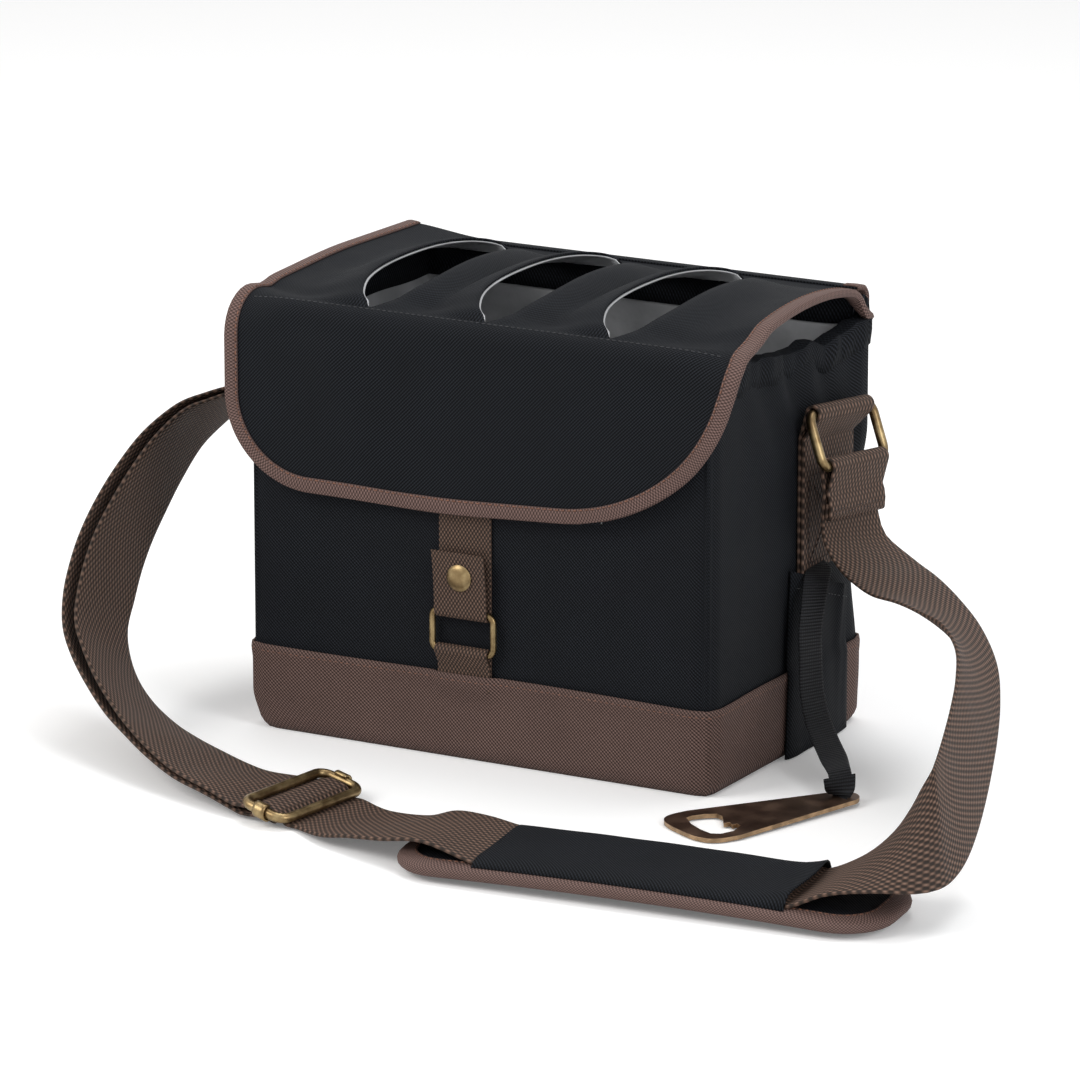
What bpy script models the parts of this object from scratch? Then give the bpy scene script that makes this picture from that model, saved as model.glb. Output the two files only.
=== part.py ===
"""Insulated bottle carrier bag for six bottles, with a slotted lid flap, a ring and snap closure,
a shoulder strap with a slider and a pad, a side pocket and a bottle opener on a tether.

Metres, +Z up, +X to the bag's right as it is seen from the front, -Y to the front.
The origin is the middle of the bag's underside.
"""

import math

import bmesh
import bpy
from mathutils import Matrix, Vector

for item in list(bpy.data.objects):
    bpy.data.objects.remove(item, do_unlink=True)

# Cloth, foam and tape thicknesses, and the clearance between pieces that touch.
GAP = 0.0003
CLOTH = 0.0012
BAND_CLOTH = 0.0010
FOAM = 0.0045
LINER = 0.0008
TAPE = 0.0008
LID_CLOTH = 0.0020

# The body.
BODY_WIDTH = 0.232
BODY_DEPTH = 0.148
BODY_CORNER = 0.006
LID_HEIGHT = 0.204
GUSSET_DROP = 0.018
BAND_HEIGHT = 0.041

# Webbing and metalwork.
WEB_WIDTH = 0.050
WEB = 0.0016
CLOSURE_WIDTH = 0.025
CLOSURE_WEB = 0.0012
RING_WIRE = 0.0045
RING_PITCH = 0.0245
FRONT_WIRE = 0.0030
FRONT_PITCH = 0.0185

half_width = BODY_WIDTH / 2
half_depth = BODY_DEPTH / 2
gusset_height = LID_HEIGHT - GUSSET_DROP
wall_stack = CLOTH + GAP + FOAM + GAP + LINER
lid_under = LID_HEIGHT - LID_CLOTH - GAP - LINER
wall_top = lid_under - GAP - TAPE - GAP
X_AXIS = Vector((1, 0, 0))
Y_AXIS = Vector((0, 1, 0))
Z_AXIS = Vector((0, 0, 1))


# Materials.


def finish(name, colour, roughness, metallic=0.0):
    made = bpy.data.materials.new(name)
    made.use_nodes = True
    shader = made.node_tree.nodes["Principled BSDF"]
    shader.inputs["Base Color"].default_value = (*colour, 1)
    shader.inputs["Roughness"].default_value = roughness
    shader.inputs["Metallic"].default_value = metallic
    made.diffuse_color = (*colour, 1)
    return made


black_cloth = finish("black_cloth", (0.012, 0.013, 0.017), 0.75)
brown_cloth = finish("brown_cloth", (0.105, 0.058, 0.047), 0.8)
brown_webbing = finish("brown_webbing", (0.075, 0.036, 0.026), 0.7)
silver_lining = finish("silver_lining", (0.42, 0.43, 0.45), 0.4)
white_foam = finish("white_foam", (0.75, 0.75, 0.72), 0.9)
grey_board = finish("grey_board", (0.22, 0.22, 0.23), 0.6)
old_brass = finish("old_brass", (0.52, 0.37, 0.16), 0.35, 1.0)
old_copper = finish("old_copper", (0.22, 0.12, 0.075), 0.4, 1.0)
black_ribbon = finish("black_ribbon", (0.010, 0.010, 0.012), 0.7)


# Shared ways of making a solid.


def keep(shape, name, look, origin=None):
    """Turns a bmesh into an object whose origin lies at the given point."""
    bmesh.ops.recalc_face_normals(shape, faces=shape.faces)
    place = Vector(origin) if origin is not None else Vector((0, 0, 0))
    bmesh.ops.translate(shape, verts=shape.verts, vec=-place)
    mesh = bpy.data.meshes.new(name)
    shape.to_mesh(mesh)
    shape.free()
    mesh.materials.append(look)
    mesh.shade_smooth()
    mesh.set_sharp_from_angle(angle=math.radians(40))
    made = bpy.data.objects.new(name, mesh)
    made.location = place
    bpy.context.scene.collection.objects.link(made)
    return made


def prism(outline, across, up, along, start, end):
    """A flat outline in the plane of across and up, extruded along the third axis."""
    shape = bmesh.new()
    corners = [shape.verts.new(across * u + up * v + along * start) for u, v in outline]
    face = shape.faces.new(corners)
    grown = bmesh.ops.extrude_face_region(shape, geom=[face])
    moved = [item for item in grown["geom"] if isinstance(item, bmesh.types.BMVert)]
    bmesh.ops.translate(shape, verts=moved, vec=along * (end - start))
    return shape


def slab(low, high):
    outline = [(low[0], low[1]), (high[0], low[1]), (high[0], high[1]), (low[0], high[1])]
    return prism(outline, X_AXIS, Y_AXIS, Z_AXIS, low[2], high[2])


def loft(sections, closed=False):
    """Joins closed sections of as many points each by bands of faces, with a cap at each end."""
    shape = bmesh.new()
    rows = [[shape.verts.new(point) for point in section] for section in sections]
    count = len(rows[0])
    pairs = list(zip(rows, rows[1:]))
    if closed:
        pairs.append((rows[-1], rows[0]))
    for lower, upper in pairs:
        for i in range(count):
            j = (i + 1) % count
            shape.faces.new((lower[i], lower[j], upper[j], upper[i]))
    if not closed:
        shape.faces.new(rows[0][::-1])
        shape.faces.new(rows[-1])
    return shape


def arc(centre, radius, start, end, steps):
    """Points on an arc, from start to end degrees."""
    turns = [math.radians(start + (end - start) * i / steps) for i in range(steps + 1)]
    return [(centre[0] + radius * math.cos(t), centre[1] + radius * math.sin(t)) for t in turns]


def strip_outline(path, thickness):
    """The closed outline of a strip of this thickness whose middle follows an open path."""
    left, right = [], []
    for i, point in enumerate(path):
        before = Vector(path[max(i - 1, 0)])
        after = Vector(path[min(i + 1, len(path) - 1)])
        here = Vector(point)
        first = (here - before).normalized() if i > 0 else (after - here).normalized()
        second = (after - here).normalized() if i < len(path) - 1 else first
        side = Vector((-(first + second).y, (first + second).x)).normalized()
        square = max(side.dot(Vector((-first.y, first.x))), 0.5)
        left.append(here + side * thickness / 2 / square)
        right.append(here - side * thickness / 2 / square)
    return [tuple(point) for point in left + right[::-1]]


def rounded_rectangle(half_x, half_y, radius, steps=4):
    points = []
    for sx, sy, start in ((1, 1, 0), (-1, 1, 90), (-1, -1, 180), (1, -1, 270)):
        centre = (sx * (half_x - radius), sy * (half_y - radius))
        points += arc(centre, radius, start, start + 90, steps)
    return points


def tangent_angle(centre, radius, point, side):
    """The angle, in degrees, at which a line from a point outside meets the circle."""
    reach = Vector(point) - Vector(centre)
    spread = math.acos(min(radius / reach.length, 1))
    return math.degrees(math.atan2(reach.y, reach.x) + side * spread)


def smooth_route(route, step):
    """Points at about this spacing along a smooth curve through the route's own points.

    Each point carries the direction of the webbing's width beside its place.
    """
    stops = [(Vector(place), Vector(lean)) for place, lean in route]
    stops = [stops[0]] + stops + [stops[-1]]
    smooth = []
    for i in range(1, len(stops) - 2):
        count = max(1, round((stops[i + 1][0] - stops[i][0]).length / step))
        for k in range(count):
            t = k / count
            pair = []
            for which in (0, 1):
                a, b, c, d = (stops[i + j][which] for j in (-1, 0, 1, 2))
                pair.append(
                    0.5
                    * (
                        2 * b
                        + (c - a) * t
                        + (2 * a - 5 * b + 4 * c - d) * t**2
                        + (3 * b - a - 3 * c + d) * t**3
                    )
                )
            smooth.append(tuple(pair))
    smooth.append(stops[-2])
    return smooth


def webbing_run(route, width, thickness, step):
    """A flat strap laid along a route, as a lofted solid."""
    points = smooth_route(route, step)
    sections = []
    for i, (place, lean) in enumerate(points):
        ahead = points[min(i + 1, len(points) - 1)][0] - points[max(i - 1, 0)][0]
        ahead.normalize()
        across = (lean - ahead * lean.dot(ahead)).normalized()
        out = ahead.cross(across)
        corners = ((-1, -1), (1, -1), (1, 1), (-1, 1))
        sections.append(
            [place + across * (a * width / 2) + out * (b * thickness / 2) for a, b in corners]
        )
    return loft(sections)


def turned(profile, origin, axis, steps=20):
    """A profile of radius and height points turned round an axis through the origin."""
    shape = bmesh.new()
    corners = [shape.verts.new((radius, 0, height)) for radius, height in profile]
    edges = [shape.edges.new(pair) for pair in zip(corners, corners[1:])]
    bmesh.ops.spin(
        shape,
        geom=corners + edges,
        cent=(0, 0, 0),
        axis=(0, 0, 1),
        angle=math.tau,
        steps=steps,
        use_merge=True,
    )
    bmesh.ops.remove_doubles(shape, verts=shape.verts, dist=GAP / 100)
    turn = Z_AXIS.rotation_difference(axis).to_matrix().to_4x4()
    bmesh.ops.transform(shape, matrix=Matrix.Translation(origin) @ turn, verts=shape.verts)
    return shape


def bent_wire(name, points, wire, look, origin):
    """A closed loop of round wire."""
    line = bpy.data.curves.new(name, "CURVE")
    line.dimensions = "3D"
    line.bevel_depth = wire / 2
    line.bevel_resolution = 2
    spline = line.splines.new("POLY")
    spline.points.add(len(points) - 1)
    for spot, point in zip(spline.points, points):
        spot.co = (*(Vector(point) - Vector(origin)), 1)
    spline.use_cyclic_u = True
    spline.use_smooth = True
    line.materials.append(look)
    made = bpy.data.objects.new(name, line)
    made.location = origin
    bpy.context.scene.collection.objects.link(made)
    return made


# Base panel, base foam, stiffener board and welded lining.

LINING_CORNER = 0.0020
BOARD = 0.0020


def flat_plate(half_x, half_y, corner, low, thickness):
    outline = rounded_rectangle(half_x, half_y, corner)
    return prism(outline, X_AXIS, Y_AXIS, Z_AXIS, low, low + thickness)


keep(flat_plate(half_width, half_depth, BODY_CORNER, 0, CLOTH), "bottom_panel", brown_cloth)
base_half_x = half_width - CLOTH - GAP
base_half_y = half_depth - CLOTH - GAP
foam_low = CLOTH + GAP
base_plate = flat_plate(base_half_x, base_half_y, BODY_CORNER - CLOTH, foam_low, FOAM)
keep(base_plate, "base_foam", white_foam)
lining_half_x = half_width - CLOTH - GAP - FOAM - GAP
lining_half_y = half_depth - CLOTH - GAP - FOAM - GAP
board_low = foam_low + FOAM + GAP
board = flat_plate(lining_half_x, lining_half_y, LINING_CORNER, board_low, BOARD)
keep(board, "base_board", grey_board)
lining_low = board_low + BOARD + GAP
floor_top = lining_low + LINER


def lining_top(y):
    """The lining's rim runs lower over the side gussets than at the front and back."""
    rise = (abs(y) - (lining_half_y - LINING_CORNER)) / LINING_CORNER
    return gusset_height + (wall_top - gusset_height) * min(max(rise, 0), 1)


outer_loop = rounded_rectangle(lining_half_x, lining_half_y, LINING_CORNER)
inner_corner = LINING_CORNER - LINER
inner_loop = rounded_rectangle(lining_half_x - LINER, lining_half_y - LINER, inner_corner)
tub = loft(
    [
        [(x, y, lining_low) for x, y in outer_loop],
        [(x, y, lining_top(y)) for x, y in outer_loop],
        [(p[0], p[1], lining_top(q[1])) for p, q in zip(inner_loop, outer_loop)],
        [(x, y, floor_top) for x, y in inner_loop],
    ]
)
keep(tub, "lining", silver_lining)


# The four walls: outer cloth, foam sheets, and the brown band round the foot.


def wrapped_wall(half_x, half_y, corner, thickness, facing):
    """Plan outline of a wall whose ends turn the rounded corners; facing is -1 at the front."""
    inner = corner - thickness
    left_centre = (corner - half_x, corner - half_y)
    right_centre = (half_x - corner, corner - half_y)
    outline = arc(left_centre, corner, 180, 270, 4)
    outline += arc(right_centre, corner, 270, 360, 4)
    outline += arc(right_centre, inner, 360, 270, 4)
    outline += arc(left_centre, inner, 270, 180, 4)
    return [(x, -facing * y) for x, y in outline]


def upright(outline, low, high):
    return prism(outline, X_AXIS, Y_AXIS, Z_AXIS, low, high)


gusset_half = half_depth - BODY_CORNER - GAP
band_half_x = half_width + GAP + BAND_CLOTH
band_half_y = half_depth + GAP + BAND_CLOTH
band_corner = BODY_CORNER + GAP + BAND_CLOTH
for facing, side_name in ((-1, "front"), (1, "back")):
    cloth = wrapped_wall(half_width, half_depth, BODY_CORNER, CLOTH, facing)
    keep(upright(cloth, foam_low, wall_top), side_name + "_panel", black_cloth)
    band = wrapped_wall(band_half_x, band_half_y, band_corner, BAND_CLOTH, facing)
    keep(upright(band, 0, BAND_HEIGHT), "band_" + side_name, brown_cloth)
    near = facing * (half_depth - CLOTH - GAP)
    far = facing * (half_depth - CLOTH - GAP - FOAM)
    reach = lining_half_x
    sheet = slab((-reach, min(near, far), board_low), (reach, max(near, far), wall_top))
    keep(sheet, "foam_" + side_name, white_foam)
for facing, side_name in ((-1, "left"), (1, "right")):
    faces = sorted((facing * half_width, facing * (half_width - CLOTH)))
    wall = slab((faces[0], -gusset_half, foam_low), (faces[1], gusset_half, gusset_height))
    keep(wall, "gusset_" + side_name, black_cloth)
    faces = sorted((facing * (half_width + GAP), facing * band_half_x))
    wall = slab((faces[0], -gusset_half, 0), (faces[1], gusset_half, BAND_HEIGHT))
    keep(wall, "band_" + side_name, brown_cloth)
    foam_face = half_width - CLOTH - GAP
    faces = sorted((facing * foam_face, facing * (foam_face - FOAM)))
    wall = slab((faces[0], -gusset_half, board_low), (faces[1], gusset_half, gusset_height))
    keep(wall, "foam_" + side_name, white_foam)


# Folded hem tapes over the walls' top edges.

HEM_LEG = 0.012


def channel(inside_low, inside_high, top, leg, wall):
    """Outline of a tape folded over an edge: two legs and the fold above them."""
    return [
        (inside_low - wall, top - leg),
        (inside_low, top - leg),
        (inside_low, top),
        (inside_high, top),
        (inside_high, top - leg),
        (inside_high + wall, top - leg),
        (inside_high + wall, top + wall),
        (inside_low - wall, top + wall),
    ]


hem_reach_x = lining_half_x - LINING_CORNER - GAP
hem_reach_y = lining_half_y - LINING_CORNER - GAP
for facing, side_name in ((-1, "front"), (1, "back")):
    stack = sorted((facing * (half_depth + GAP), facing * (half_depth - wall_stack - GAP)))
    folded = channel(stack[0], stack[1], wall_top + GAP, HEM_LEG, TAPE)
    tape = prism(folded, Y_AXIS, Z_AXIS, X_AXIS, -hem_reach_x, hem_reach_x)
    keep(tape, "hem_" + side_name, black_cloth)
for facing, side_name in ((-1, "left"), (1, "right")):
    stack = sorted((facing * (half_width + GAP), facing * (half_width - wall_stack - GAP)))
    folded = channel(stack[0], stack[1], gusset_height + GAP, HEM_LEG, TAPE)
    tape = prism(folded, X_AXIS, Z_AXIS, Y_AXIS, -hem_reach_y, hem_reach_y)
    keep(tape, "hem_" + side_name, black_cloth)


# Padded divider that keeps the bottles apart: one long board and two cross boards, half lapped.

DIVIDER = 0.0030
DIVIDER_HEIGHT = 0.150
CROSS_PLACE = 0.0335

divider_low = floor_top + GAP
lap = (divider_low + DIVIDER_HEIGHT) / 2
slot_half = DIVIDER / 2 + GAP
long_reach = lining_half_x - LINER - GAP
cross_reach = lining_half_y - LINER - GAP


def lapped_board(reach, places, notch_edge, notch_end):
    """Outline of a board with notches that start at one edge and end at the lap."""
    plain_edge = divider_low + DIVIDER_HEIGHT - notch_edge
    line = [(-reach, plain_edge), (-reach, notch_edge)]
    for place in places:
        line += [(place - slot_half, notch_edge), (place - slot_half, notch_end)]
        line += [(place + slot_half, notch_end), (place + slot_half, notch_edge)]
    return line + [(reach, notch_edge), (reach, plain_edge)]


long_board = lapped_board(long_reach, (-CROSS_PLACE, CROSS_PLACE), DIVIDER_HEIGHT, lap - GAP / 2)
divider = prism(long_board, X_AXIS, Z_AXIS, Y_AXIS, -DIVIDER / 2, DIVIDER / 2)
keep(divider, "divider_long", silver_lining)
for facing, side_name in ((-1, "left"), (1, "right")):
    cross_board = lapped_board(cross_reach, (0,), divider_low, lap + GAP / 2)
    middle = facing * CROSS_PLACE
    cross = prism(cross_board, Y_AXIS, Z_AXIS, X_AXIS, middle - DIVIDER / 2, middle + DIVIDER / 2)
    keep(cross, "divider_cross_" + side_name, silver_lining)


# The lid: a slotted top sheet, hinged at the back, and the front drop, hinged at the top fold.

LID_HALF_BACK = 0.1195
LID_HALF_FRONT = 0.1325
HINGE_STRIP = 0.0015
HINGE_STRIP_DROP = 0.026
HINGE_RISE = 0.0005
LID_BACK_SETBACK = 0.0012
SLOT_PLACE = 0.062
SLOT_MARGIN = 0.010
SLOT_WIDTH = 0.034
SLOT_Y = -0.006
LINING_INSET = 0.002
FLAP_HEM = 0.117
FLAP_CORNER = 0.040
TAPE_LEG = 0.007
SLOT_STEPS = 10
TOP_TO_DROP = 0.0015

strip_near = half_depth + GAP + TAPE + GAP
hinge_y = strip_near + HINGE_STRIP / 2
hinge_z = LID_HEIGHT - LID_CLOTH - HINGE_RISE
hinge_spot = (0, hinge_y, hinge_z)
strip = slab(
    (-LID_HALF_BACK, strip_near, hinge_z - GAP - HINGE_STRIP_DROP),
    (LID_HALF_BACK, strip_near + HINGE_STRIP, hinge_z - GAP),
)
keep(strip, "lid_hinge_strip", black_cloth)

tape_back = -(half_depth + GAP + CLOSURE_WEB + GAP)
drop_lining_back = tape_back - TAPE - GAP
drop_back = drop_lining_back - LINER - GAP
drop_front = drop_back - LID_CLOTH
fold_y = (drop_back + drop_front) / 2
fold_spot = (0, fold_y, hinge_z)
lid_back = hinge_y - LID_BACK_SETBACK
lid_front_edge = fold_y + TOP_TO_DROP


def lid_half_at(y):
    share = (lid_back - y) / (lid_back - lid_front_edge)
    return LID_HALF_BACK + (LID_HALF_FRONT - LID_HALF_BACK) * share


def lens(centre_x, centre_y, length, width, steps):
    """A slot outline: two shallow arcs that meet in a point at each end."""
    bow = [math.pi * i / steps for i in range(steps + 1)]
    one = [(centre_x + width / 2 * math.sin(t), centre_y + length / 2 * math.cos(t)) for t in bow]
    other = [(2 * centre_x - x, y) for x, y in one[-2:0:-1]]
    return one + other


def slotted_sheet(name, back, front, inset, low, thickness, look):
    outline = [
        (-lid_half_at(back) + inset, back),
        (-lid_half_at(front) + inset, front),
        (lid_half_at(front) - inset, front),
        (lid_half_at(back) - inset, back),
    ]
    sheet = keep(upright(outline, low, low + thickness), name, look, hinge_spot)
    cutter_shape = bmesh.new()
    for place in (-SLOT_PLACE, 0, SLOT_PLACE):
        outline = lens(place, SLOT_Y, BODY_DEPTH - 2 * SLOT_MARGIN, SLOT_WIDTH, SLOT_STEPS)
        hole = upright(outline, low - thickness, low + 2 * thickness)
        spare = bpy.data.meshes.new("slot")
        hole.to_mesh(spare)
        hole.free()
        cutter_shape.from_mesh(spare)
    cutter = keep(cutter_shape, name + "_slots", look)
    cutter.hide_render = True
    cutter.display_type = "WIRE"
    cut = sheet.modifiers.new("slots", "BOOLEAN")
    cut.operation = "DIFFERENCE"
    cut.object = cutter
    cutter.hide_set(True)
    return sheet


top_low = LID_HEIGHT - LID_CLOTH
slotted_sheet("lid_top", lid_back, lid_front_edge, 0, top_low, LID_CLOTH, black_cloth)
lining_back_edge = half_depth - GAP
lining_front_edge = lid_front_edge + LINING_INSET
slotted_sheet(
    "lid_top_lining",
    lining_back_edge,
    lining_front_edge,
    LINING_INSET,
    lid_under,
    LINER,
    silver_lining,
)


def edge_tape(path, outward, inside_low, inside_high, along_low):
    """Tape folded round an edge: sections of a channel set along the edge's path."""
    sections = []
    for point, out in zip(path, outward):
        shape = channel(inside_low, inside_high, GAP, TAPE_LEG + GAP, TAPE)
        sections.append([point + out * v + along_low * u for u, v in shape])
    return loft(sections)


for facing, side_name in ((-1, "left"), (1, "right")):
    ends = (lining_back_edge, lid_front_edge)
    edge = [Vector((facing * lid_half_at(y), y, 0)) for y in ends]
    out = Vector((facing, 0, 0))
    tape = edge_tape(edge, (out, out), lid_under - GAP, LID_HEIGHT + GAP, Z_AXIS)
    keep(tape, "lid_binding_" + side_name, brown_cloth, hinge_spot)

# The front drop, its lining and the tape round its sides, corners and hem.

drop_top = hinge_z - HINGE_RISE
tape_top = wall_top - 2 * TAPE


def drop_outline(inset, top, steps=8):
    """Sides, rounded lower corners and hem, from the left top to the right top."""
    half = LID_HALF_FRONT - inset
    corner = FLAP_CORNER - inset
    hem = FLAP_HEM + inset
    left = arc((-half + corner, hem + corner), corner, 180, 270, steps)
    right = arc((half - corner, hem + corner), corner, 270, 360, steps)
    return [(-half, top)] + left + right + [(half, top)]


drop = prism(drop_outline(0, drop_top), X_AXIS, Z_AXIS, Y_AXIS, drop_front, drop_back)
keep(drop, "lid_front", black_cloth, fold_spot)
backing_outline = drop_outline(LINING_INSET, tape_top)
backing_front = drop_lining_back - LINER
backing = prism(backing_outline, X_AXIS, Z_AXIS, Y_AXIS, backing_front, drop_lining_back)
keep(backing, "lid_front_lining", silver_lining, fold_spot)
rim = [Vector((x, 0, z)) for x, z in drop_outline(0, tape_top)]
rim_out = []
for i, point in enumerate(rim):
    along = rim[min(i + 1, len(rim) - 1)] - rim[max(i - 1, 0)]
    rim_out.append(Vector((along.z, 0, -along.x)).normalized())
tape = edge_tape(rim, rim_out, drop_front - GAP, drop_lining_back + GAP, Y_AXIS)
keep(tape, "lid_binding_front", brown_cloth, fold_spot)


# Front closure: keeper loop, ring, the strap from under the flap, and its snapped tab.

CLOSURE_X = -0.0075
FRONT_RING_LOW = 0.0515
FRONT_RING_CORNER = 0.0020
FRONT_RING_SIDE_ROOM = 0.0005
CLOSURE_TOP = 0.140
TAB_TOP = 0.098
SNAP_HEIGHT = 0.086

bar_y = -(half_depth + GAP + CLOSURE_WEB + GAP + FRONT_WIRE / 2)
bar_low = (bar_y, FRONT_RING_LOW)
bar_high = (bar_y, FRONT_RING_LOW + FRONT_PITCH)
front_loop = FRONT_WIRE / 2 + GAP + CLOSURE_WEB / 2
closure_span = (CLOSURE_X - CLOSURE_WIDTH / 2, CLOSURE_X + CLOSURE_WIDTH / 2)
web_y = bar_y + front_loop
keeper_foot = BAND_HEIGHT + GAP
second_layer = (web_y - CLOSURE_WEB - GAP, keeper_foot)
leave = tangent_angle(bar_low, front_loop, second_layer, -1)
keeper_path = [(web_y, keeper_foot)]
keeper_path += arc(bar_low, front_loop, 0, leave % 360, 9)
keeper_path += [second_layer]
keeper = strip_outline(keeper_path, CLOSURE_WEB)
keep(prism(keeper, Y_AXIS, Z_AXIS, X_AXIS, *closure_span), "keeper_loop", brown_webbing)

front_half = CLOSURE_WIDTH / 2 + FRONT_RING_SIDE_ROOM + FRONT_WIRE / 2
ring_middle = FRONT_RING_LOW + FRONT_PITCH / 2
front_loop_points = rounded_rectangle(front_half, FRONT_PITCH / 2, FRONT_RING_CORNER, 5)
front_points = [(CLOSURE_X + x, bar_y, ring_middle + z) for x, z in front_loop_points]
front_spot = (CLOSURE_X, bar_y, FRONT_RING_LOW)
bent_wire("front_ring", front_points, FRONT_WIRE, old_brass, front_spot)

tab_y = bar_y - front_loop
tab_foot = bar_high[1] + FRONT_WIRE / 2 + GAP
strap_path = [(web_y, CLOSURE_TOP)]
strap_path += arc(bar_high, front_loop, 0, -180, 9)
strap_path += [(tab_y, tab_foot - GAP)]
strap_outline = strip_outline(strap_path, CLOSURE_WEB)
closure = prism(strap_outline, Y_AXIS, Z_AXIS, X_AXIS, *closure_span)
keep(closure, "closure_strap", brown_webbing, fold_spot)
snap_spot = (CLOSURE_X, bar_y, bar_high[1])
tab = slab(
    (closure_span[0], tab_y - CLOSURE_WEB / 2, tab_foot),
    (closure_span[1], tab_y + CLOSURE_WEB / 2, TAB_TOP),
)
snap_tab = keep(tab, "snap_tab", brown_webbing, snap_spot)

# Snap fastener: domed cap and post in front of the tab, socket behind it, stud on the strap.

CAP_RADIUS = 0.00625
CAP_RIM = 0.0007
CAP_DOME = 0.0020
POST_RADIUS = 0.0016
POST_ROOM = 0.0003
SOCKET_RADIUS = 0.0050
SOCKET_HEIGHT = 0.0020
SOCKET_BORE = 0.0023
SOCKET_WEB = 0.0005
STUD_RADIUS = 0.0045
STUD_FLANGE = 0.0007
BALL_ROOM = 0.0003

tab_face = tab_y - CLOSURE_WEB / 2
tab_rear = tab_y + CLOSURE_WEB / 2
hole_radius = POST_RADIUS + POST_ROOM
hole_profile = [
    (0, -CLOSURE_WEB),
    (hole_radius, -CLOSURE_WEB),
    (hole_radius, CLOSURE_WEB),
    (0, CLOSURE_WEB),
]
post_hole = turned(hole_profile, (CLOSURE_X, tab_y, SNAP_HEIGHT), Y_AXIS, 12)
post_cutter = keep(post_hole, "post_hole", old_brass)
post_cutter.hide_render = True
post_cutter.display_type = "WIRE"
post_cutter.hide_set(True)
pierce = snap_tab.modifiers.new("post_hole", "BOOLEAN")
pierce.operation = "DIFFERENCE"
pierce.object = post_cutter

cap_profile = [
    (0, -CLOSURE_WEB),
    (POST_RADIUS, -CLOSURE_WEB),
    (POST_RADIUS, 0),
    (CAP_RADIUS, 0),
    (CAP_RADIUS, CAP_RIM),
]
dome_steps = 4
for i in range(1, dome_steps + 1):
    turn = math.pi / 2 * i / dome_steps
    rise = CAP_RIM + (CAP_DOME - CAP_RIM) * math.sin(turn)
    cap_profile.append((CAP_RADIUS * math.cos(turn) if i < dome_steps else 0, rise))
front_way = Vector((0, -1, 0))
cap_place = (CLOSURE_X, tab_face - GAP, SNAP_HEIGHT)
keep(turned(cap_profile, cap_place, front_way), "snap_cap", old_brass, snap_spot)
socket_profile = [
    (0, SOCKET_HEIGHT - SOCKET_WEB),
    (SOCKET_BORE, SOCKET_HEIGHT - SOCKET_WEB),
    (SOCKET_BORE, 0),
    (SOCKET_RADIUS, 0),
    (SOCKET_RADIUS, SOCKET_HEIGHT),
    (0, SOCKET_HEIGHT),
]
socket_place = (CLOSURE_X, tab_rear + GAP + SOCKET_HEIGHT, SNAP_HEIGHT)
keep(turned(socket_profile, socket_place, front_way), "snap_socket", old_brass, snap_spot)
stud_face = web_y - CLOSURE_WEB / 2 - GAP
ball_top = stud_face - tab_rear - GAP - SOCKET_WEB - BALL_ROOM
stud_profile = [
    (0, 0),
    (STUD_RADIUS, 0),
    (STUD_RADIUS, STUD_FLANGE),
    (SOCKET_BORE - 2 * BALL_ROOM, STUD_FLANGE),
    (SOCKET_BORE - BALL_ROOM, (STUD_FLANGE + ball_top) / 2),
    (SOCKET_BORE - 2 * BALL_ROOM, ball_top),
    (0, ball_top),
]
stud_place = (CLOSURE_X, stud_face, SNAP_HEIGHT)
keep(turned(stud_profile, stud_place, front_way), "snap_stud", old_brass, fold_spot)


# Side tabs and rings, and the strap's ends on them.

TAB_Y = 0.034
TAB_FOOT = 0.084
RING_HEIGHT = 0.156
RING_STANDOFF = 0.0085
RING_CORNER = 0.0026
RING_SIDE_ROOM = 0.0011
TAB_JOIN_DROP = 0.012
STRAP_END = 0.024
LEFT_END = 0.015
STRAP_JOIN = 0.012
RIGHT_YAW = 3.0
RIGHT_ROLL = 6.0
RIGHT_TILT = 22.0
LEFT_YAW = 20.0
LEFT_ROLL = 14.0
LEFT_TILT = 55.0
LEFT_STANDOFF = 0.0135

web_loop = RING_WIRE / 2 + GAP + WEB / 2


def ring_frame(facing, yaw, roll, tilt, standoff):
    """The top bar's middle, the bar's direction, and the way the ring hangs from it."""
    middle = Vector((facing * (half_width + standoff), TAB_Y, RING_HEIGHT))
    turn, lean = math.radians(yaw), math.radians(roll)
    bar = Vector((facing * math.sin(turn), math.cos(turn), -math.sin(lean))).normalized()
    swing = math.radians(tilt)
    hang = Vector((facing * math.sin(swing), 0, -math.cos(swing)))
    hang = (hang - bar * hang.dot(bar)).normalized()
    return middle, bar, hang


def tab_profile(facing, bar_out, bar_up):
    """Webbing sewn up the gusset, round the bar, and back down on itself, at one edge."""
    layer = half_width + GAP + WEB / 2
    outer_layer = (layer + WEB + GAP, bar_up - TAB_JOIN_DROP)
    centre = (bar_out, bar_up)
    meet = (layer, bar_up - TAB_JOIN_DROP)
    arrive = tangent_angle(centre, web_loop, meet, -1) % 360
    leave = tangent_angle(centre, web_loop, outer_layer, 1)
    path = [(layer, TAB_FOOT), meet]
    path += arc(centre, web_loop, arrive, leave, 10)
    path += [outer_layer, (outer_layer[0], TAB_FOOT)]
    return [(facing * u, v) for u, v in strip_outline(path, WEB)]


def side_tab(name, facing, middle, bar):
    edges = []
    for end in (-1, 1):
        spot = middle + bar * (end * WEB_WIDTH / 2)
        edge = []
        for u, v in tab_profile(facing, facing * spot.x, spot.z):
            rise = max(v - spot.z, -TAB_JOIN_DROP)
            shift = -((u - spot.x) * bar.x + rise * bar.z) / bar.y
            edge.append((u, spot.y + shift, v))
        edges.append(edge)
    return keep(loft(edges), name, brown_webbing)


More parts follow.
